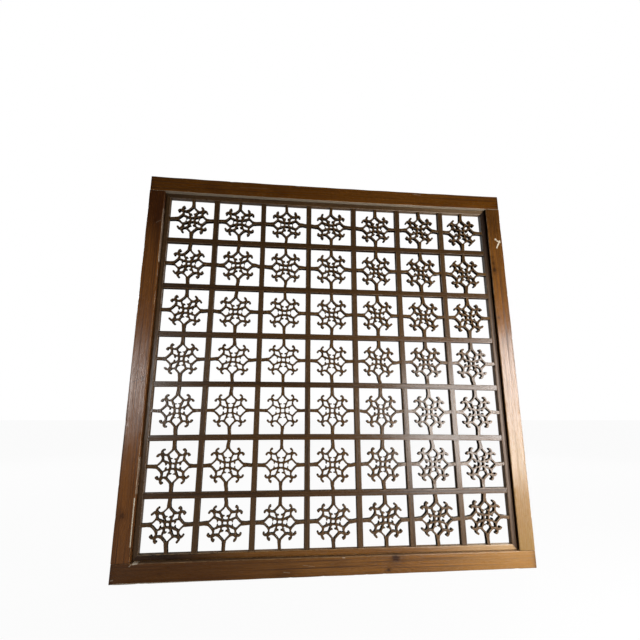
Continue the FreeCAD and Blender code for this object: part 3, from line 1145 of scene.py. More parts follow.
BOARD_LOOKS = {
    "top_rail": Wood(
        # Its underside is lightened with pale dust and painted light from below.
        PINE, under=1.3,
        knots=(Knot(362.0, 17.0, 3.0, 0.7),),
        marks=(Mark(193.0, 12.5, 212.0, 10.5, 0.5, True, 0.35),
               Mark(-36.0, 16.7, -31.0, 16.2, 1.4, False, 0.8),
               Mark(30.0, 16.7, 35.0, 16.0, 1.6, False, 0.8),
               Mark(-210.0, 3.0, -150.0, 5.0, 0.35, True, 0.18),
               Mark(379.0, -16.5, 404.0, -16.0, 0.5, True, 0.3)),
    ),
    "bottom_rail": Wood(
        GOLD_PINE,
        knots=(Knot(117.4, 11.6, 9.5, 1.0), Knot(102.8, -9.5, 4.0, 0.9),
               Knot(-318.0, -2.0, 3.0, 0.4)),
        marks=(Mark(-398.0, -14.9, -200.0, -15.9, 0.5, True, 0.75),
               Mark(-60.0, 4.0, -38.0, 1.0, 0.4, True, 0.20),
               Mark(-96.0, -6.5, -84.0, -8.0, 0.5, True, 0.25),
               Mark(15.0, 14.8, 19.0, 14.6, 0.8, True, 0.5),
               Mark(-367.0, 15.8, -360.0, 16.6, 1.6, True, 0.75),
               Mark(-373.0, 12.0, -370.0, 15.0, 0.7, True, 0.5),
               Mark(-402.0, -9.5, -399.0, -9.0, 1.0, True, 0.3)),
        # Painted shade: darker towards the left end; painted light: lighter towards the right
        # end.
        fades=(PaintedLightFade(30.0, -260.0, (0.095, 0.031, 0.004), 0.80),
               PaintedLightFade(120.0, 380.0, (0.36, 0.190, 0.055), 0.5)),
    ),
    "left_stile": Wood(
        RED_PINE,
        knots=(Knot(297.9, 2.2, 4.4, 0.7), Knot(-44.0, 8.5, 2.4, 0.9),
               Knot(-292.0, -4.0, 6.0, 0.7)),
        marks=(Mark(-49.7, -11.5, -46.0, -2.0, 0.6, False, 0.8),
               Mark(-46.0, -2.0, -34.7, 15.5, 0.6, False, 0.8),
               Mark(294.5, 3.6, 301.0, 13.5, 0.45, True, 0.3),
               # These three long pale lines along the inner edge are a painted highlight on the
               # inner arris.
               Mark(-262.0, 15.0, -345.0, 15.3, 1.0, True, 1.0),
               Mark(330.0, 16.2, 205.0, 16.3, 0.45, True, 0.35),
               Mark(-190.0, 16.2, -255.0, 16.2, 0.5, True, 0.4)),
        # Painted shade: darker towards the top.
        fades=(PaintedLightFade(225.0, 330.0, (0.055, 0.012, 0.001), 0.75),),
    ),
    "right_stile": Wood(
        OLD_PINE,
        knots=(Knot(217.0, -9.5, 5.6, 1.0), Knot(233.0, -11.0, 4.0, 0.9),
               Knot(248.0, -11.5, 2.8, 0.8), Knot(103.4, -11.0, 2.4, 1.0)),
        marks=(Mark(293.9, 0.3, 293.5, 0.8, 2.6, True, 0.85),
               Mark(290.0, 4.0, 287.0, 11.0, 1.9, True, 0.8),
               Mark(290.5, 10.5, 272.5, 2.0, 1.7, True, 0.9),
               Mark(-190.0, 9.0, -240.0, 8.5, 0.4, False, 0.4)),
        # Painted light: lighter towards the foot.
        fades=(PaintedLightFade(130.0, -330.0, (0.230, 0.130, 0.036), 0.85),),
    ),
}


@dataclass
class Woodwork:
    """A sub-assembly of the panel.

    Attributes:
        lines: The panel's main lines.
        fit: How far the panel has strayed from true.
    """

    lines: Lines
    fit: HandFit

    SLOT: ClassVar[str]

    @staticmethod
    def dressed(look: Wood, name: str, seed: int) -> bpy.types.Material:
        """A board's own finish: its seed says where in the wood the board was cut."""
        return look.material(f"stained pine of the {name}", seed * Stick.GRAIN_STEP)

    def add(self, name: str, skin: Skin, node: str, finish: bpy.types.Material,
            in_frame: bool = False, crease: float = 38.0) -> None:
        """Settle a skin into the strayed panel and make it a piece.

        Args:
            name: The piece's name.
            skin: Its surface, in the true panel.
            node: The node that it replaces.
            finish: Its material.
            in_frame: Whether it is one of the frame's boards.
            crease: Edges that turn by more than this many degrees are shaded sharp.
        """
        make_piece(name, self.fit.settled(skin, in_frame), node, finish, crease)


@dataclass
class FrameBoards(Woodwork):
    """Four boards: rails that run the full width, and stiles between them on tenons.

    Attributes:
        arris: Rounding of the front edges.
        tight: Rounding where two boards meet.
        back_arris: Rounding of the back edges.
        tenon_shoulder: Shoulder beside a stile's tenon.
        tenon_depth: The tenon's depth, front to back.
        step: Distance between stations.
        knocks: How many knocks a board has.
    """

    arris: float = 1.5 * MM
    tight: float = 0.35 * MM
    back_arris: float = 0.8 * MM
    tenon_shoulder: float = 6.0 * MM
    tenon_depth: float = 10.0 * MM
    step: float = 3.0 * MM
    knocks: int = 16

    SLOT = "frame_wood"
    SEEDS = {"top_rail": 1, "bottom_rail": 2, "left_stile": 3, "right_stile": 4}
    OTHER_EDGE = 20
    KNOCK_SEED = 50
    PLANING = 0.12 * MM
    COLUMNS = (7, 11)
    SWELL_LENGTH = 90 * MM
    KNOCK_REACH = (2.0, 5.0)
    KNOCK_DEPTH = (0.2, 0.7)

    def build(self) -> None:
        """Make the four boards and dress them."""
        for name, seed in self.SEEDS.items():
            stick = self._rail(name, seed) if name.endswith("rail") else self._stile(name, seed)
            self.add(f"{name}_board", stick.skin(), name,
                     self.dressed(BOARD_LOOKS[name], name, seed), in_frame=True)

    def _rail(self, name: str, seed: int) -> Stick:
        """A rail: its front edge is eased less where the stiles butt against it.

        Args:
            name: Its node's name.
            seed: Its seed.

        Returns:
            The rail.
        """
        lines = self.lines
        side, met = (1, 1) if name == "top_rail" else (-1, 0)
        at = self._stations(lines.half_width - self.back_arris,
                            (-lines.half_inside, lines.half_inside))
        free = 1 - ramp(np.abs(at.along), lines.half_inside - 2 * MM, lines.half_inside + MM)
        eased = self._eased(at.along, seed)
        at.front_round[:, met] = self.tight + (eased - self.tight) * free
        at.front_round[:, 1 - met] = self._eased(at.along, seed + self.OTHER_EDGE)
        return self._board(Run.ACROSS, lines.middle + side * lines.board_line, 0.0,
                           at.end_eased(self.back_arris), seed, lines.half_width, (0.0, 0.0))

    def _stile(self, name: str, seed: int) -> Stick:
        """A stile with a tenon on each end.

        Args:
            name: Its node's name.
            seed: Its seed.

        Returns:
            The stile.
        """
        lines = self.lines
        # Painted shade: the right stile's inner wall, which faces left, takes the dark sawn
        # colour in full, and the left stile's inner wall a quarter of it.
        side, walls = (1, (0.0, 1.0)) if name == "right_stile" else (-1, (0.25, 0.0))
        at = self._stations(lines.half_inside - self.tight)
        at.front_round[:, 0] = self._eased(at.along, seed)
        at.front_round[:, 1] = self._eased(at.along, seed + self.OTHER_EDGE)
        tenon = lines.half_board - self.tenon_shoulder
        low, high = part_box(name)
        at = at.end_eased(self.tight).tenoned(
            (high.z - low.z) / 2 - lines.half_inside, (-tenon, tenon),
            (-self.tenon_depth / 2, self.tenon_depth / 2))
        return self._board(Run.UP, side * lines.board_line, lines.middle, at, seed,
                           lines.half_inside, walls)

    def _stations(self, reach: float, marks: tuple[float, ...] = ()) -> Stations:
        """A board's plain sections, as far as the reach both ways.

        Args:
            reach: How far they go from the board's middle.
            marks: Places that get a station of their own.

        Returns:
            The stations.
        """
        half = self.lines.half_board
        return Stations.even(-reach, reach, self.step, (-half, half),
                             (self.lines.frame_front, self.lines.frame_back), self.arris,
                             self.back_arris, marks)

    def _board(self, run: Run, line: float, middle: float, at: Stations, seed: int,
               reach: float, walls: tuple[float, float]) -> Stick:
        """A board with its knocks."""
        return Stick(run, line, middle, at, seed, planing=self.PLANING, columns=self.COLUMNS,
                     dents=self._knocks(seed, reach), walls=walls)

    def _eased(self, along: Array, seed: int) -> Array:
        """A hand-worn arris: its rounding swells and narrows along the board."""
        swell = np.clip(waves(along[:, None], seed, self.SWELL_LENGTH), -1.4, 1.6)
        return self.arris * (1 + 0.3 * swell)

    def _knocks(self, seed: int, reach: float) -> tuple[Dent, ...]:
        """Small knocks along the front edges.

        Args:
            seed: The board's seed.
            reach: How far they may lie from its middle.

        Returns:
            The knocks.
        """
        rng = np.random.default_rng(seed + self.KNOCK_SEED)
        along = rng.uniform(-reach, reach, self.knocks)
        half = self.lines.half_board
        across = np.where(rng.random(self.knocks) < 0.5, -half, half)
        sizes = rng.uniform(*self.KNOCK_REACH, self.knocks) * MM
        depths = rng.uniform(*self.KNOCK_DEPTH, self.knocks) * MM
        front = np.full(self.knocks, self.lines.frame_front)
        return tuple(Dent(*row) for row in zip(along, across, front, sizes, depths))


# The inner border


BORDER_RING = 2.0 * MM
# The four strips are one moulding in lit and shaded copies: the bottom strip takes the lighter
# gold stain as painted light, and the top and left strips the dark stain as painted shade.
BORDER_LOOKS = {
    "top": Wood(DARK_PINE, BORDER_RING, dusty=0.55, wear=0.45,
                # Painted light: lighter towards the right end.
                fades=(PaintedLightFade(60.0, 340.0, (0.23, 0.15, 0.08), 0.75),)),
    "bottom": Wood(GOLD_PINE, BORDER_RING, dusty=0.35, wear=0.45,
                   # Painted shadow: near black towards the left end; painted light: lighter
                   # towards the right end.
                   fades=(PaintedLightFade(-120.0, -340.0, (0.018, 0.006, 0.001), 0.95),
                          PaintedLightFade(120.0, 350.0, (0.42, 0.27, 0.13), 0.7))),
    "left": Wood(DARK_PINE, BORDER_RING, dusty=0.55, wear=0.45),
    "right": Wood(BROWN_PINE, BORDER_RING, dusty=0.45, wear=0.3, gloss=0.50,
                  # Painted shade: near black towards the top.
                  fades=(PaintedLightFade(120.0, 330.0, (0.012, 0.004, 0.001), 0.9),)),
}


@dataclass
class InnerBorder(Woodwork):
    """Four mitred strips that line the frame, set back behind its front.

    Attributes:
        bead: Rounding of the front edges.
        back_arris: Rounding of the back edges.
        joint: Rounding where two strips meet.
        step: Distance between stations.
    """

    bead: float = 1.8 * MM
    back_arris: float = 0.5 * MM
    joint: float = 0.3 * MM
    step: float = 3.0 * MM

    SLOT = "border_wood"
    FIRST_SEED = 11
    SWELL_LENGTH = 70 * MM
    SIDES = {"top": (Run.ACROSS, 1), "bottom": (Run.ACROSS, -1), "left": (Run.UP, -1),
             "right": (Run.UP, 1)}

    def build(self) -> None:
        """Make the four strips and dress them."""
        for seed, (place, (run, side)) in enumerate(self.SIDES.items(), self.FIRST_SEED):
            self.add(f"border_{place}_strip", self._strip(run, side, seed).skin(),
                     f"border_{place}",
                     self.dressed(BORDER_LOOKS[place], f"{place} border", seed))

    def _strip(self, run: Run, side: int, seed: int) -> Stick:
        """One strip: its line grows across it, which cuts its ends to a mitre.

        Args:
            run: Which way it runs.
            side: 1 at the top or the right, and else -1.
            seed: Its seed.

        Returns:
            The strip.
        """
        lines = self.lines
        width = lines.half_inside - lines.half_lattice
        sides = (0.0, width) if side > 0 else (-width, 0.0)
        at = Stations.even(-lines.half_lattice, lines.half_lattice, self.step, sides,
                           (lines.front, lines.back), self.bead, self.back_arris)
        swell = waves(at.along[:, None], seed, self.SWELL_LENGTH)
        at.front_round *= 1 + 0.12 * swell[:, None]
        middle, line = (0.0, lines.middle) if run is Run.ACROSS else (lines.middle, 0.0)
        return Stick(run, line + side * lines.half_lattice, middle, at.end_eased(self.joint),
                     seed, taper=side / lines.half_lattice, planing=0.1 * MM, columns=(4, 5))


# The lattice bars


@dataclass
class LatticeBars(Woodwork):
    """Upright and cross bars, half lapped where they cross, with a tenon on each end.

    Attributes:
        edge: Rounding of the front edges.
        back_edge: Rounding of the back edges.
        tight: Rounding at the ends and beside a crossing.
        lap: Rounding inside a lap, and the run of its shoulder.
        gap: Clearance beside a lap.
        tenon: Half width and half depth of a tenon.
        step: Distance between stations.
    """

    edge: float = 0.8 * MM
    back_edge: float = 0.5 * MM
    tight: float = 0.2 * MM
    lap: float = 0.05 * MM
    gap: float = 0.15 * MM
    tenon: tuple[float, float] = (2.5 * MM, 3.0 * MM)
    step: float = 4.0 * MM

    SLOT = "bar_wood"
    SWELL_LENGTH = 60 * MM
    LEAST_ROUND = 0.3 * MM
    MOST_ROUND = 1.4 * MM
    MARKED = 1.5 * MM
    EASED_AGAIN = 3 * MM

    def build(self) -> None:
        """Make the twelve bars and dress them. Their seeds are 21 to 26 and 31 to 36."""
        kinds = (("upright", Run.UP, DARK_PINE, 30), ("cross", Run.ACROSS, BROWN_PINE, 20))
        finishes = {kind: Wood(stain, 2.0 * MM, wear=0.45, dusty=0.4).material(
            f"stained {kind} bar pine") for kind, _, stain, _ in kinds}
        for number, line in enumerate(self.lines.bars, start=1):
            for kind, run, _, seed in kinds:
                stick = self._bar(kind, run, float(line), seed + number)
                self.add(f"{kind}_bar_{number}_stick", stick.skin(), f"{kind}_bar_{number}",
                         finishes[kind])

    def _bar(self, kind: str, run: Run, line: float, seed: int) -> Stick:
        """One bar. A cross bar keeps its front half at a crossing, an upright bar its back.

        Args:
            kind: The first word of its node's name.
            run: Which way it runs.
            line: Its centre line, from the panel's middle.
            seed: Its seed.

        Returns:
            The bar.
        """
        lines = self.lines
        half = lines.bar_width / 2
        reach = lines.half_lattice - self.tight
        notch = half + self.gap
        marks = np.concatenate([lines.bars + way * (notch + past)
                                for way in (-1, 1) for past in (0.0, self.lap, self.MARKED)])
        at = Stations.even(-reach, reach, self.step, (-half, half), (lines.front, lines.back),
                           self.edge, self.back_edge, tuple(marks))
        away = np.abs(at.along[:, None] - lines.bars).min(1)
        lapped = away < notch + self.lap / 2
        middle_level = (lines.front + lines.back) / 2
        near = 1 - ramp(away, notch + self.lap, notch + self.EASED_AGAIN)
        free = self.edge * (1 + 0.35 * waves(at.along[:, None], seed, self.SWELL_LENGTH))
        free = np.clip(free, self.LEAST_ROUND, self.MOST_ROUND)
        at.front_round[:] = (free + (self.tight - free) * near)[:, None]
        if run is Run.ACROSS:
            at.back = np.where(lapped, middle_level, at.back)
            at.back_round[lapped] = self.lap
        else:
            at.front = np.where(lapped, middle_level, at.front)
            at.front_round[lapped] = self.lap
        low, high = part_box(f"{kind}_bar_1")
        whole = (high.z - low.z) if run is Run.UP else (high.x - low.x)
        wide, deep = self.tenon
        at = at.end_eased(self.tight, 1).tenoned(
            whole / 2 - lines.half_lattice, (-wide, wide),
            (middle_level - deep, middle_level + deep))
        home = 0.0 if run is Run.ACROSS else lines.middle
        line += lines.middle if run is Run.ACROSS else 0.0
        # Painted shade: both side walls of each bar are darkened towards the near-black sawn
        # colour.
        return Stick(run, line, home, at, seed, planing=0.08 * MM, columns=(3, 3),
                     walls=(0.7, 0.7))


# The rosettes


def smooth_least(first: Array, second: Array, reach: float) -> Array:
    """The smaller of two distances, with the corner between them filled by a fillet."""
    share = np.clip(0.5 + 0.5 * (second - first) / reach, 0, 1)
    return second * (1 - share) + first * share - reach * share * (1 - share)


def off_run(points: Array, start: Array, end: Array) -> tuple[Array, Array]:
    """Distance from a straight run, and how far along it the nearest point is.

    Args:
        points: Places in the plane.
        start: One end.
        end: The other.

    Returns:
        The distance, and the share of the run from its start to the nearest point.
    """
    way = end - start
    share = np.clip((points - start) @ way / (way @ way), 0, 1)
    return np.linalg.norm(points - start - share[..., None] * way, axis=-1), share


def off_arc(points: Array, centre: Array, radius: float, first: float, last: float) -> Array:
    """Distance from an arc: |r - radius| beside it, and past its ends to the nearer end.

    Args:
        points: Places in the plane.
        centre: The arc's centre.
        radius: Its radius.
        first: Angle of one end, in degrees.
        last: Angle of the other.

    Returns:
        The distance.
    """
    away = points - centre
    middle, half = math.radians((first + last) / 2), math.radians(abs(last - first) / 2)
    angle = np.arctan2(away[..., 1], away[..., 0]) - middle
    angle = (angle + np.pi) % (2 * np.pi) - np.pi
    ends = [centre + radius * np.array([math.cos(turn), math.sin(turn)])
            for turn in (middle - half, middle + half)]
    past = np.minimum(*[np.linalg.norm(points - end, axis=-1) for end in ends])
    return np.where(np.abs(angle) <= half, np.abs(np.linalg.norm(away, axis=-1) - radius), past)


@dataclass
class RosettePattern:
    """The outline that each rosette is sawn to, worked out as a distance field.

    A line leaves each side of a strut, turns round the scroll's foot and ends in a hook with a
    ball; four inner arcs run from scroll to scroll, with a pair of barbs in each window. The
    outline is where the distance from the nearest line is half a line's width. All in
    millimetres, X across and Z up, from the rosette's middle.
    """

    half_line: float = 1.7
    half_heart: float = 1.5
    half_strut: float = 3.2
    strut_end: float = 46.6
    split_height: float = 34.6
    split_radius: float = 9.9
    split_turn: float = 45.0
    split_run: float = 7.3
    notch_height: float = 30.8
    bay_radius: float = 7.6
    bay_turn: float = 90.0
    hook_run: float = 1.5
    hook_radius: float = 3.9
    hook_turn: float = 122.0
    ball_radius: float = 2.2
    heart_reach: float = 4.8
    heart_turn: float = 20.0
    barb_height: float = 13.6
    barb_reach: float = 2.5
    barb_tip: float = 0.9
    barb_root: float = 1.5
    fillet: float = 1.8
    collar: float = 1.2
    neck: float = 0.7
    ball_fillet: float = 0.8
    grid_step: float = 1.2
    grid_shift: float = 0.11
    passes: int = 12

    FAR = 99.0

    def __post_init__(self) -> None:
        """Trace the strokes of one quarter."""
        self.strokes: list[tuple] = []
        self.ball = np.zeros(2)
        joint = self._trace_scroll()
        rise, fall = joint[1], -self.heart_reach - joint[0]
        self.heart_radius = (rise ** 2 + fall ** 2) / (2 * fall)
        self.heart_centre = np.array([-self.heart_reach - self.heart_radius, 0.0])
        self.heart_spread = math.degrees(math.asin(rise / self.heart_radius))

    def _trace_scroll(self) -> Array:
        """Follow the line from the left of the top strut to its hook.

        Returns:
            The place on the bay where the inner arc joins it.
        """
        point = np.array([-(self.half_strut - self.half_line), self.split_height])
        heading = -90.0
        joint = point
        steps = ((self.split_radius, self.split_turn), (self.split_run, 0.0),
                 (self.bay_radius, self.bay_turn), (self.hook_run, 0.0),
                 (self.hook_radius, self.hook_turn))
        for length, turn in steps:
            if not turn:
                end = point + length * self._way(heading)
                self.strokes.append((point, end))
                point = end
                continue
            centre = point + length * self._way(heading - 90)
            first = heading + 90
            self.strokes.append((centre, length, first, first - turn))
            if length == self.bay_radius:
                joint = centre + length * self._way(first - self.heart_turn)
            heading -= turn
            point = centre + length * self._way(heading + 90)
        self.ball = point
        return joint

    @staticmethod
    def _way(degrees: float) -> Array:
        """The unit vector at an angle."""
        return np.array([math.cos(math.radians(degrees)), math.sin(math.radians(degrees))])

    def distance(self, points: Array) -> Array:
        """Signed distance from the outline, less than zero inside the wood.

        Args:
            points: Places in the rosette's plane.

        Returns:
            The least over the eight turned and mirrored copies of the half quarter, with each
            corner between two lines filled.
        """
        total = np.full(points.shape[:-1], self.FAR)
        for turn in range(4):
            angle = turn * np.pi / 2
            spin = np.array([[math.cos(angle), -math.sin(angle)],
                             [math.sin(angle), math.cos(angle)]]).round()
            turned = points @ spin
            total = smooth_least(total, self._strut(turned), self.fillet)
            heart = off_arc(turned, self.heart_centre, self.heart_radius, -self.heart_spread,
                            self.heart_spread) - self.half_heart
            total = smooth_least(total, heart, self.fillet)
            for side in (1, -1):
                left = turned * np.array([side, 1])
                total = smooth_least(total, self._scroll(left), self.fillet)
                total = smooth_least(total, self._barb(left), self.fillet)
        return total

    def _strut(self, points: Array) -> Array:
        """Distance from the top strut: two boxes, the lower one narrower.

        Args:
            points: Places, turned so that the strut is on top.

        Returns:
            The signed distance.
        """
        fields = []
        for low, half in ((self.split_height - self.collar, self.half_strut),
                          (self.notch_height, self.half_strut - self.neck)):
            middle = np.array([0.0, (low + self.strut_end) / 2])
            past = np.abs(points - middle) - np.array([half, (self.strut_end - low) / 2])
            fields.append(np.linalg.norm(np.maximum(past, 0), axis=-1)
                          + np.minimum(past.max(-1), 0))
        return np.minimum(*fields)

    def _scroll(self, points: Array) -> Array:
        """Distance from the scroll's line and the ball that ends it.

        Args:
            points: Places, mirrored so that the scroll is at the left.

        Returns:
            The signed distance.
        """
        lines = [off_run(points, *stroke)[0] if len(stroke) == 2 else off_arc(points, *stroke)
                 for stroke in self.strokes]
        line = np.min(lines, axis=0) - self.half_line
        ball = np.linalg.norm(points - self.ball, axis=-1) - self.ball_radius
        return smooth_least(line, ball, self.ball_fillet)

    def _barb(self, points: Array) -> Array:
        """Distance from a barb, which narrows from the inner arc to its tip.

        Args:
            points: Places, mirrored so that the barb is at the left.

        Returns:
            The signed distance.
        """
        root = self.heart_centre[0] + math.sqrt(self.heart_radius ** 2 - self.barb_height ** 2)
        away, share = off_run(points, np.array([root, self.barb_height]),
                              np.array([-self.barb_reach, self.barb_height]))
        return away - (self.barb_root + (self.barb_tip - self.barb_root) * share)

    def slope(self, points: Array) -> Array:
        """The unit vector out of the wood: the distance field's gradient.

        Args:
            points: Places in the rosette's plane.

        Returns:
            One vector for each place.
        """
        small = 0.02
        ahead = [self.distance(points + small * np.eye(2)[axis])
                 - self.distance(points - small * np.eye(2)[axis]) for axis in range(2)]
        way = np.stack(ahead, -1)
        return way / np.maximum(np.linalg.norm(way, axis=-1, keepdims=True), 1e-9)

    def outline(self) -> tuple[Array, Array]:
        """Trace the outline on a grid and settle it on the exact distance.

        Each grid square is two triangles. Where a triangle has corners on both sides, the
        outline crosses two of its edges, at the share that the distances give. The points are
        then spread evenly and moved along the gradient until their distance is zero.

        Returns:
            The outline's points, and for each one the number of the next, wood on the left.
        """
        reach = self.strut_end + 2 * self.grid_step
        count = int(2 * reach / self.grid_step)
        ticks = np.linspace(-reach, reach, count) + self.grid_shift
        grid = np.stack(np.meshgrid(ticks, ticks), -1).reshape(-1, 2)
        away = self.distance(grid)
        corner = (np.arange(count - 1) + count * np.arange(count - 1)[:, None]).ravel()
        cells = np.concatenate([
            np.stack([corner, corner + 1, corner + count + 1], -1),
            np.stack([corner, corner + count + 1, corner + count], -1),
        ])
        inside = away[cells] < 0
        crossed = inside.any(1) & ~inside.all(1)
        cells, inside = cells[crossed], inside[crossed]
        single_in = inside.sum(1) == 1
        lone = np.where(single_in, inside.argmax(1), (~inside).argmax(1))
        row = np.arange(len(cells))
        tip, left, right = (cells[row, (lone + step) % 3] for step in range(3))
        one = np.sort(np.stack([tip, left], -1), -1)
        two = np.sort(np.stack([tip, right], -1), -1)
        start = np.where(single_in[:, None], one, two)
        end = np.where(single_in[:, None], two, one)
        edges, numbers = np.unique(np.concatenate([start, end]), axis=0, return_inverse=True)
        numbers = numbers.ravel()
        share = away[edges[:, 0]] / (away[edges[:, 0]] - away[edges[:, 1]])
        points = grid[edges[:, 0]] + share[:, None] * (grid[edges[:, 1]] - grid[edges[:, 0]])
        following = np.zeros(len(points), int)
        following[numbers[:len(start)]] = numbers[len(start):]
        before = np.zeros(len(points), int)
        before[following] = np.arange(len(points))
        for _ in range(self.passes):
            slope = self.slope(points)
            slide = 0.25 * (points[following] + points[before]) - 0.5 * points
            slide -= (slide * slope).sum(1)[:, None] * slope
            points = points + slide - self.distance(points)[:, None] * slope
        return points, following


@dataclass
class Rosettes(Woodwork):
    """Forty-nine rosettes, in seven rows, each with its own hand-sawn unevenness.

    Attributes:
        pattern: The outline.
        set_back: From the lattice's front back to a rosette's front.
        depth: Depth of a rosette.
        tenon: Half width and half depth of a strut's tenon.
        bar_tenon: Its length in a bar.
        border_tenon: Its length in the border.
        turn: How far a rosette turns, in degrees. This and the next six are spreads or
            heights, in millimetres unless they say otherwise.
        shift: How far it shifts.
        wave: How far its outline sways.
        wave_length: Length of a sway.
        tip: How far it tips forward or back at a distance of tip_reach.
        tip_reach: That distance.
        sink: How far back it may sit.
    """

    pattern: RosettePattern
    set_back: float = 0.6 * MM
    depth: float = 10.0 * MM
    tenon: tuple[float, float] = (1.8 * MM, 2.5 * MM)
    bar_tenon: float = 5.1 * MM
    border_tenon: float = 10.6 * MM
    turn: float = 0.9
    shift: float = 0.45
    wave: float = 0.35
    wave_length: float = 34.0
    tip: float = 0.25
    tip_reach: float = 45.0
    sink: float = 0.5

    SLOT = "rosette_wood"
    FIRST_SEED = 100
    OTHER_WAY = 500
    GRAIN_STEP = 0.73

    # Millimetres from the middle, along a strut, between which its rounding ends, its
    # unevenness ends and it is drawn out to the border.
    ROUNDED = (43.7, 46.0)
    UNEVEN = (36.0, 46.0)
    DRAWN_OUT = (38.0, 47.0)

    # How far in from the outline each ring lies, how far behind the front, and how worn and
    # how sawn its wood is. The wear on the rounded front edge also paints highlights there, and
    # the near-black sawn walls are partly painted shade.
    RINGS = (
        (0.80, 0.00, 0.40, 0.0), (0.45, 0.10, 0.95, 0.0), (0.16, 0.34, 0.85, 0.55),
        (0.00, 0.80, 0.40, 0.95), (0.00, 9.60, 0.10, 1.0), (0.35, 10.0, 0.25, 0.0),
    )

    def build(self) -> None:
        """Trace the outline once, then make each row out of seven uneven copies."""
        # The strong edge wear is partly rubbed wear and partly painted highlights along the
        # rosettes' edges.
        finish = Wood(TAN_PINE, 2.2 * MM, 0.21, wear=0.8, dusty=0.35).material(
            "stained rosette pine")
        outline, following = self.pattern.outline()
        slope = self.pattern.slope(outline)
        whole = 1 - ramp(np.abs(outline).max(1), *self.ROUNDED)
        rings = [outline - slope * (inset * whole)[:, None] for inset, _, _, _ in self.RINGS]
        front = self._fill(rings[0], following)
        back = self._fill(rings[-1], following)[:, ::-1] + len(outline) * (len(rings) - 1)
        quads = self._walls(len(outline), following)
        flat = np.concatenate(rings)
        levels = np.repeat([level for _, level, _, _ in self.RINGS], len(outline))
        state = np.repeat([(wear, sawn, 0.0) for _, _, wear, sawn in self.RINGS],
                          len(outline), axis=0)
        triangles = np.concatenate([front, back])
        for row in range(CELLS):
            skins = []
            for column in range(CELLS):
                skins.append(self._solid(row, column, flat, levels, state, quads, triangles))
                skins += self._tenons(row, column)
            self.add(f"rosettes_{row + 1}", joined(skins), f"rosette_row_{row + 1}", finish,
                     crease=50.0)

    def _fill(self, ring: Array, following: Array) -> Array:
        """Triangles that fill a ring's wood: those whose middle is inside the outline.

        Args:
            ring: The ring's points.
            following: For each point the number of the next.

        Returns:
            Rows of three point numbers.
        """
        edges = [(int(a), int(b)) for a, b in enumerate(following)]
        points, _, faces, *_ = delaunay_2d_cdt([Vector(p) for p in ring], edges, [], 0, 1e-5)
        if len(points) != len(ring):
            raise ValueError("the outline crosses itself")
        faces = np.array(faces)
        middles = ring[faces].mean(1)
        return faces[self.pattern.distance(middles) < 0]

    def _walls(self, count: int, following: Array) -> Array:
        """Quads between one ring and the next, all round.

        Args:
            count: How many points a ring has.
            following: For each point the number of the next.

        Returns:
            Rows of four point numbers.
        """
        here = np.arange(count)
        bands = np.arange(len(self.RINGS) - 1)[:, None] * count
        quads = np.stack([here + bands, following + bands, following + bands + count,
                          here + bands + count], -1)
        return quads.reshape(-1, 4)

    def _solid(self, row: int, column: int, flat: Array, levels: Array, state: Array,
               quads: Array, triangles: Array) -> Skin:
        """One rosette: the outline's rings, turned, bent and shifted a little, in place.

        Args:
            row: Its row, from the top.
            column: Its column, from the left.
            flat: The rings' points in the plane, in millimetres.
            levels: How far behind the rosette's front each point lies.
            state: How worn, sawn and grimy each point is.
            quads: Its walls.
            triangles: Its front and its back.

        Returns:
            The rosette's skin, in its place.
        """
        seed = self.FIRST_SEED + row * CELLS + column
        rng = np.random.default_rng(seed)
        free = 1 - ramp(np.abs(flat).max(1), *self.UNEVEN)
        turn = math.radians(rng.normal(0, self.turn)) * free
        x = flat[:, 0] * np.cos(turn) - flat[:, 1] * np.sin(turn)
        z = flat[:, 0] * np.sin(turn) + flat[:, 1] * np.cos(turn)
        shift = rng.normal(0, self.shift, 2)
        x = x + free * (shift[0] + self.wave * waves(flat, seed, self.wave_length))
        z = z + free * (shift[1]
                        + self.wave * waves(flat, seed + self.OTHER_WAY, self.wave_length))
        x, z = self._to_border(x, column, 1), self._to_border(z, row, -1)
        tip = rng.normal(0, self.tip, 2) / self.tip_reach
        back = levels + free * (self.sink * rng.random() + x * tip[0] + z * tip[1])
        centre_x, centre_z = self.lines.cells[column], -self.lines.cells[row]
        points = np.stack([centre_x + x * MM, self.lines.front + self.set_back + back * MM,
                           self.lines.middle + centre_z + z * MM], -1)
        grain = np.stack([z * MM + seed * self.GRAIN_STEP, x * MM, levels * MM], -1)
        return Skin(points, quads, triangles, grain, state).outward()

    def _to_border(self, places: Array, number: int, way: int) -> Array:
        """Places with the strut towards the border drawn out, in the outermost cells.

        Args:
            places: Places across or up, from the cell's middle.
            number: The rosette's column or row.
            way: 1 if the numbers grow with the places, and else -1.

        Returns:
            The places drawn out.
        """
        extra = (self.lines.border_reach - self.lines.bar_reach) / MM
        stretched = places
        for edge, side in ((0, -way), (CELLS - 1, way)):
            if number == edge:
                share = ramp(side * places, *self.DRAWN_OUT)
                stretched = stretched + side * extra * share
        return stretched

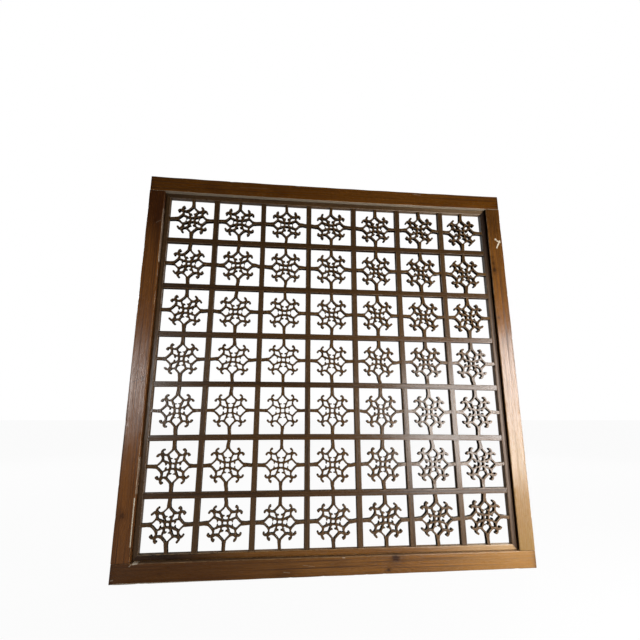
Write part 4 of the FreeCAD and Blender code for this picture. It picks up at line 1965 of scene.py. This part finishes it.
    def _tenons(self, row: int, column: int) -> list[Skin]:
        """A tenon past the end of each strut: a box with one corner at each sign.

        Args:
            row: The rosette's row, from the top.
            column: Its column, from the left.

        Returns:
            Four skins.
        """
        wide, thick = self.tenon
        centre = np.array([self.lines.cells[column],
                           self.lines.front + self.set_back + self.depth / 2,
                           self.lines.middle - self.lines.cells[row]])
        signs = np.stack(np.meshgrid([-1, 1], [-1, 1], [-1, 1], indexing="ij"), -1)
        signs = signs.reshape(-1, 3)
        quads = np.array([(0, 1, 3, 2), (4, 6, 7, 5), (0, 4, 5, 1), (2, 3, 7, 6), (0, 2, 6, 4),
                          (1, 5, 7, 3)])
        made = []
        for axis, number, outer in ((0, column, CELLS - 1), (2, row, 0)):
            for side in (-1, 1):
                at_border = number == (outer if side > 0 else CELLS - 1 - outer)
                start = self.lines.border_reach if at_border else self.lines.bar_reach
                past = self.border_tenon if at_border else self.bar_tenon
                half = np.array([wide, thick, wide])
                half[axis] = past / 2
                middle = centre.copy()
                middle[axis] += side * (start + past / 2)
                points = middle + signs * half
                made.append(Skin(points, quads, np.zeros((0, 3), int), points,
                                 np.tile([0.0, 1.0, 0.0], (8, 1))).outward())
        return made


# Pins, studio and camera


def dress_pins() -> None:
    """Give the blind pins bare pine."""
    finish = Wood(BARE_PINE, ring=2.0 * MM, gloss=0.6, wear=0.1).material("bare pin pine")
    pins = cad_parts["border_pins"]
    pins.data.materials.clear()
    pins.data.materials.append(finish)


@dataclass(frozen=True)
class SoftLamp:
    """An oblong soft lamp.

    Attributes:
        name: Its name.
        place: Its middle.
        aim: The point that it faces.
        size: Its width and height.
        glow: Radiance of its face.
        spread: Angle in degrees that its light keeps to.
    """

    name: str
    place: Colour
    aim: Colour
    size: tuple[float, float]
    glow: float
    spread: float = 180.0

    def hang(self) -> None:
        """Put the lamp up. Its power is its glow times its area times pi."""
        light = bpy.data.lights.new(self.name, "AREA")
        light.shape = "RECTANGLE"
        light.size, light.size_y = self.size
        light.energy = self.glow * self.size[0] * self.size[1] * math.pi
        light.spread = math.radians(self.spread)
        lamp = add_object(self.name, light)
        lamp.location = self.place
        way = Vector(self.aim) - Vector(self.place)
        lamp.rotation_euler = way.to_track_quat("-Z", "Y").to_euler()


@dataclass
class Studio:
    """A pale floor, soft lamps and the camera.

    Attributes:
        lamps: The lamps.
        ambient: Strength of the light from all round.
        half_floor: Half the floor's width.
        floor_white: How much of the floor the camera sees as white, from 0 to 1.
        sensor: Width of the camera's sensor, in millimetres.
        lens: Its focal length, in millimetres.
        camera_place: Where it stands.
        camera_turn: How it is turned, in degrees.
    """

    lamps: tuple[SoftLamp, ...] = (
        SoftLamp("window_right", (0.70, -0.50, 0.31), (0.44, 0.0, 0.12), (0.17, 0.50), 20.5),
        SoftLamp("window_middle", (0.44, -0.55, 0.26), (0.22, 0.0, 0.24), (0.20, 0.36), 11.5),
        SoftLamp("window_left", (-0.725, -0.80, 0.40), (-0.41, 0.0, 0.36), (0.09, 0.26), 6.4,
                 90.0),
        SoftLamp("sky_behind", (0.2, 1.3, 2.6), (0.0, 0.0, 0.4), (1.6, 1.2), 0.9),
        SoftLamp("fill_behind_left", (-1.9, 1.8, 1.4), (0.0, 0.0, 0.4), (0.8, 0.9), 11.0),
        SoftLamp("fill_behind_right", (1.9, 1.8, 1.4), (0.0, 0.0, 0.4), (0.8, 0.9), 11.0),
    )
    ambient: float = 0.036
    half_floor: float = 30.0
    floor_white: float = 0.96
    sensor: float = 36.0
    lens: float = 22.968
    camera_place: Colour = (-0.12076, -0.86235, 0.29236)
    camera_turn: Colour = (103.258, -0.058, -6.254)

    def build(self) -> None:
        """Set everything up."""
        self._floor()
        self._world()
        for lamp in self.lamps:
            lamp.hang()
        self._camera()

    def _floor(self) -> None:
        """A wide plain floor that shows white to the camera and keeps the panel's shadow."""
        mesh = bpy.data.meshes.new("floor")
        half = self.half_floor
        mesh.from_pydata([(-half, -half, 0), (half, -half, 0), (half, half, 0),
                          (-half, half, 0)], [], [(0, 1, 2, 3)])
        material = bpy.data.materials.new("pale floor")
        recipe = Recipe(material, "ShaderNodeOutputMaterial")
        matte = recipe.node("ShaderNodeBsdfDiffuse", {}, {"Color": GREY})
        white = recipe.node("ShaderNodeEmission", {}, {"Color": WHITE})
        recipe.finish(recipe.node("ShaderNodeMixShader", {}, {
            0: recipe.seen() * self.floor_white, 1: matte.outputs[0], 2: white.outputs[0]}))
        mesh.materials.append(material)
        add_object("floor", mesh)

    def _world(self) -> None:
        """Even light from all round, which shows white to the camera."""
        world = bpy.data.worlds.new("studio")
        recipe = Recipe(world, "ShaderNodeOutputWorld")
        level = recipe.node("ShaderNodeMapRange", {},
                            {"Value": recipe.seen(), "To Min": self.ambient, "To Max": 1.0})
        recipe.finish(recipe.node("ShaderNodeBackground", {},
                                  {"Color": WHITE, "Strength": level.outputs[0]}))
        bpy.context.scene.world = world

    def _camera(self) -> None:
        """The camera: a little left of the middle, low, and tilted up."""
        data = bpy.data.cameras.new("camera")
        data.sensor_width = self.sensor
        data.lens = self.lens
        data.clip_start = 0.02
        camera = add_object("camera", data)
        camera.location = self.camera_place
        camera.rotation_euler = Euler([math.radians(turn) for turn in self.camera_turn])
        bpy.context.scene.camera = camera


def main() -> None:
    """Build the panel in order, then the studio round it."""
    bpy.context.scene.view_settings.view_transform = "Standard"
    lines = Lines()
    fit = HandFit(lines)
    FrameBoards(lines, fit).build()
    InnerBorder(lines, fit).build()
    LatticeBars(lines, fit).build()
    Rosettes(lines, fit, RosettePattern()).build()
    dress_pins()
    Studio().build()
    log.info("boxes written")


if __name__ == "__main__":
    main()
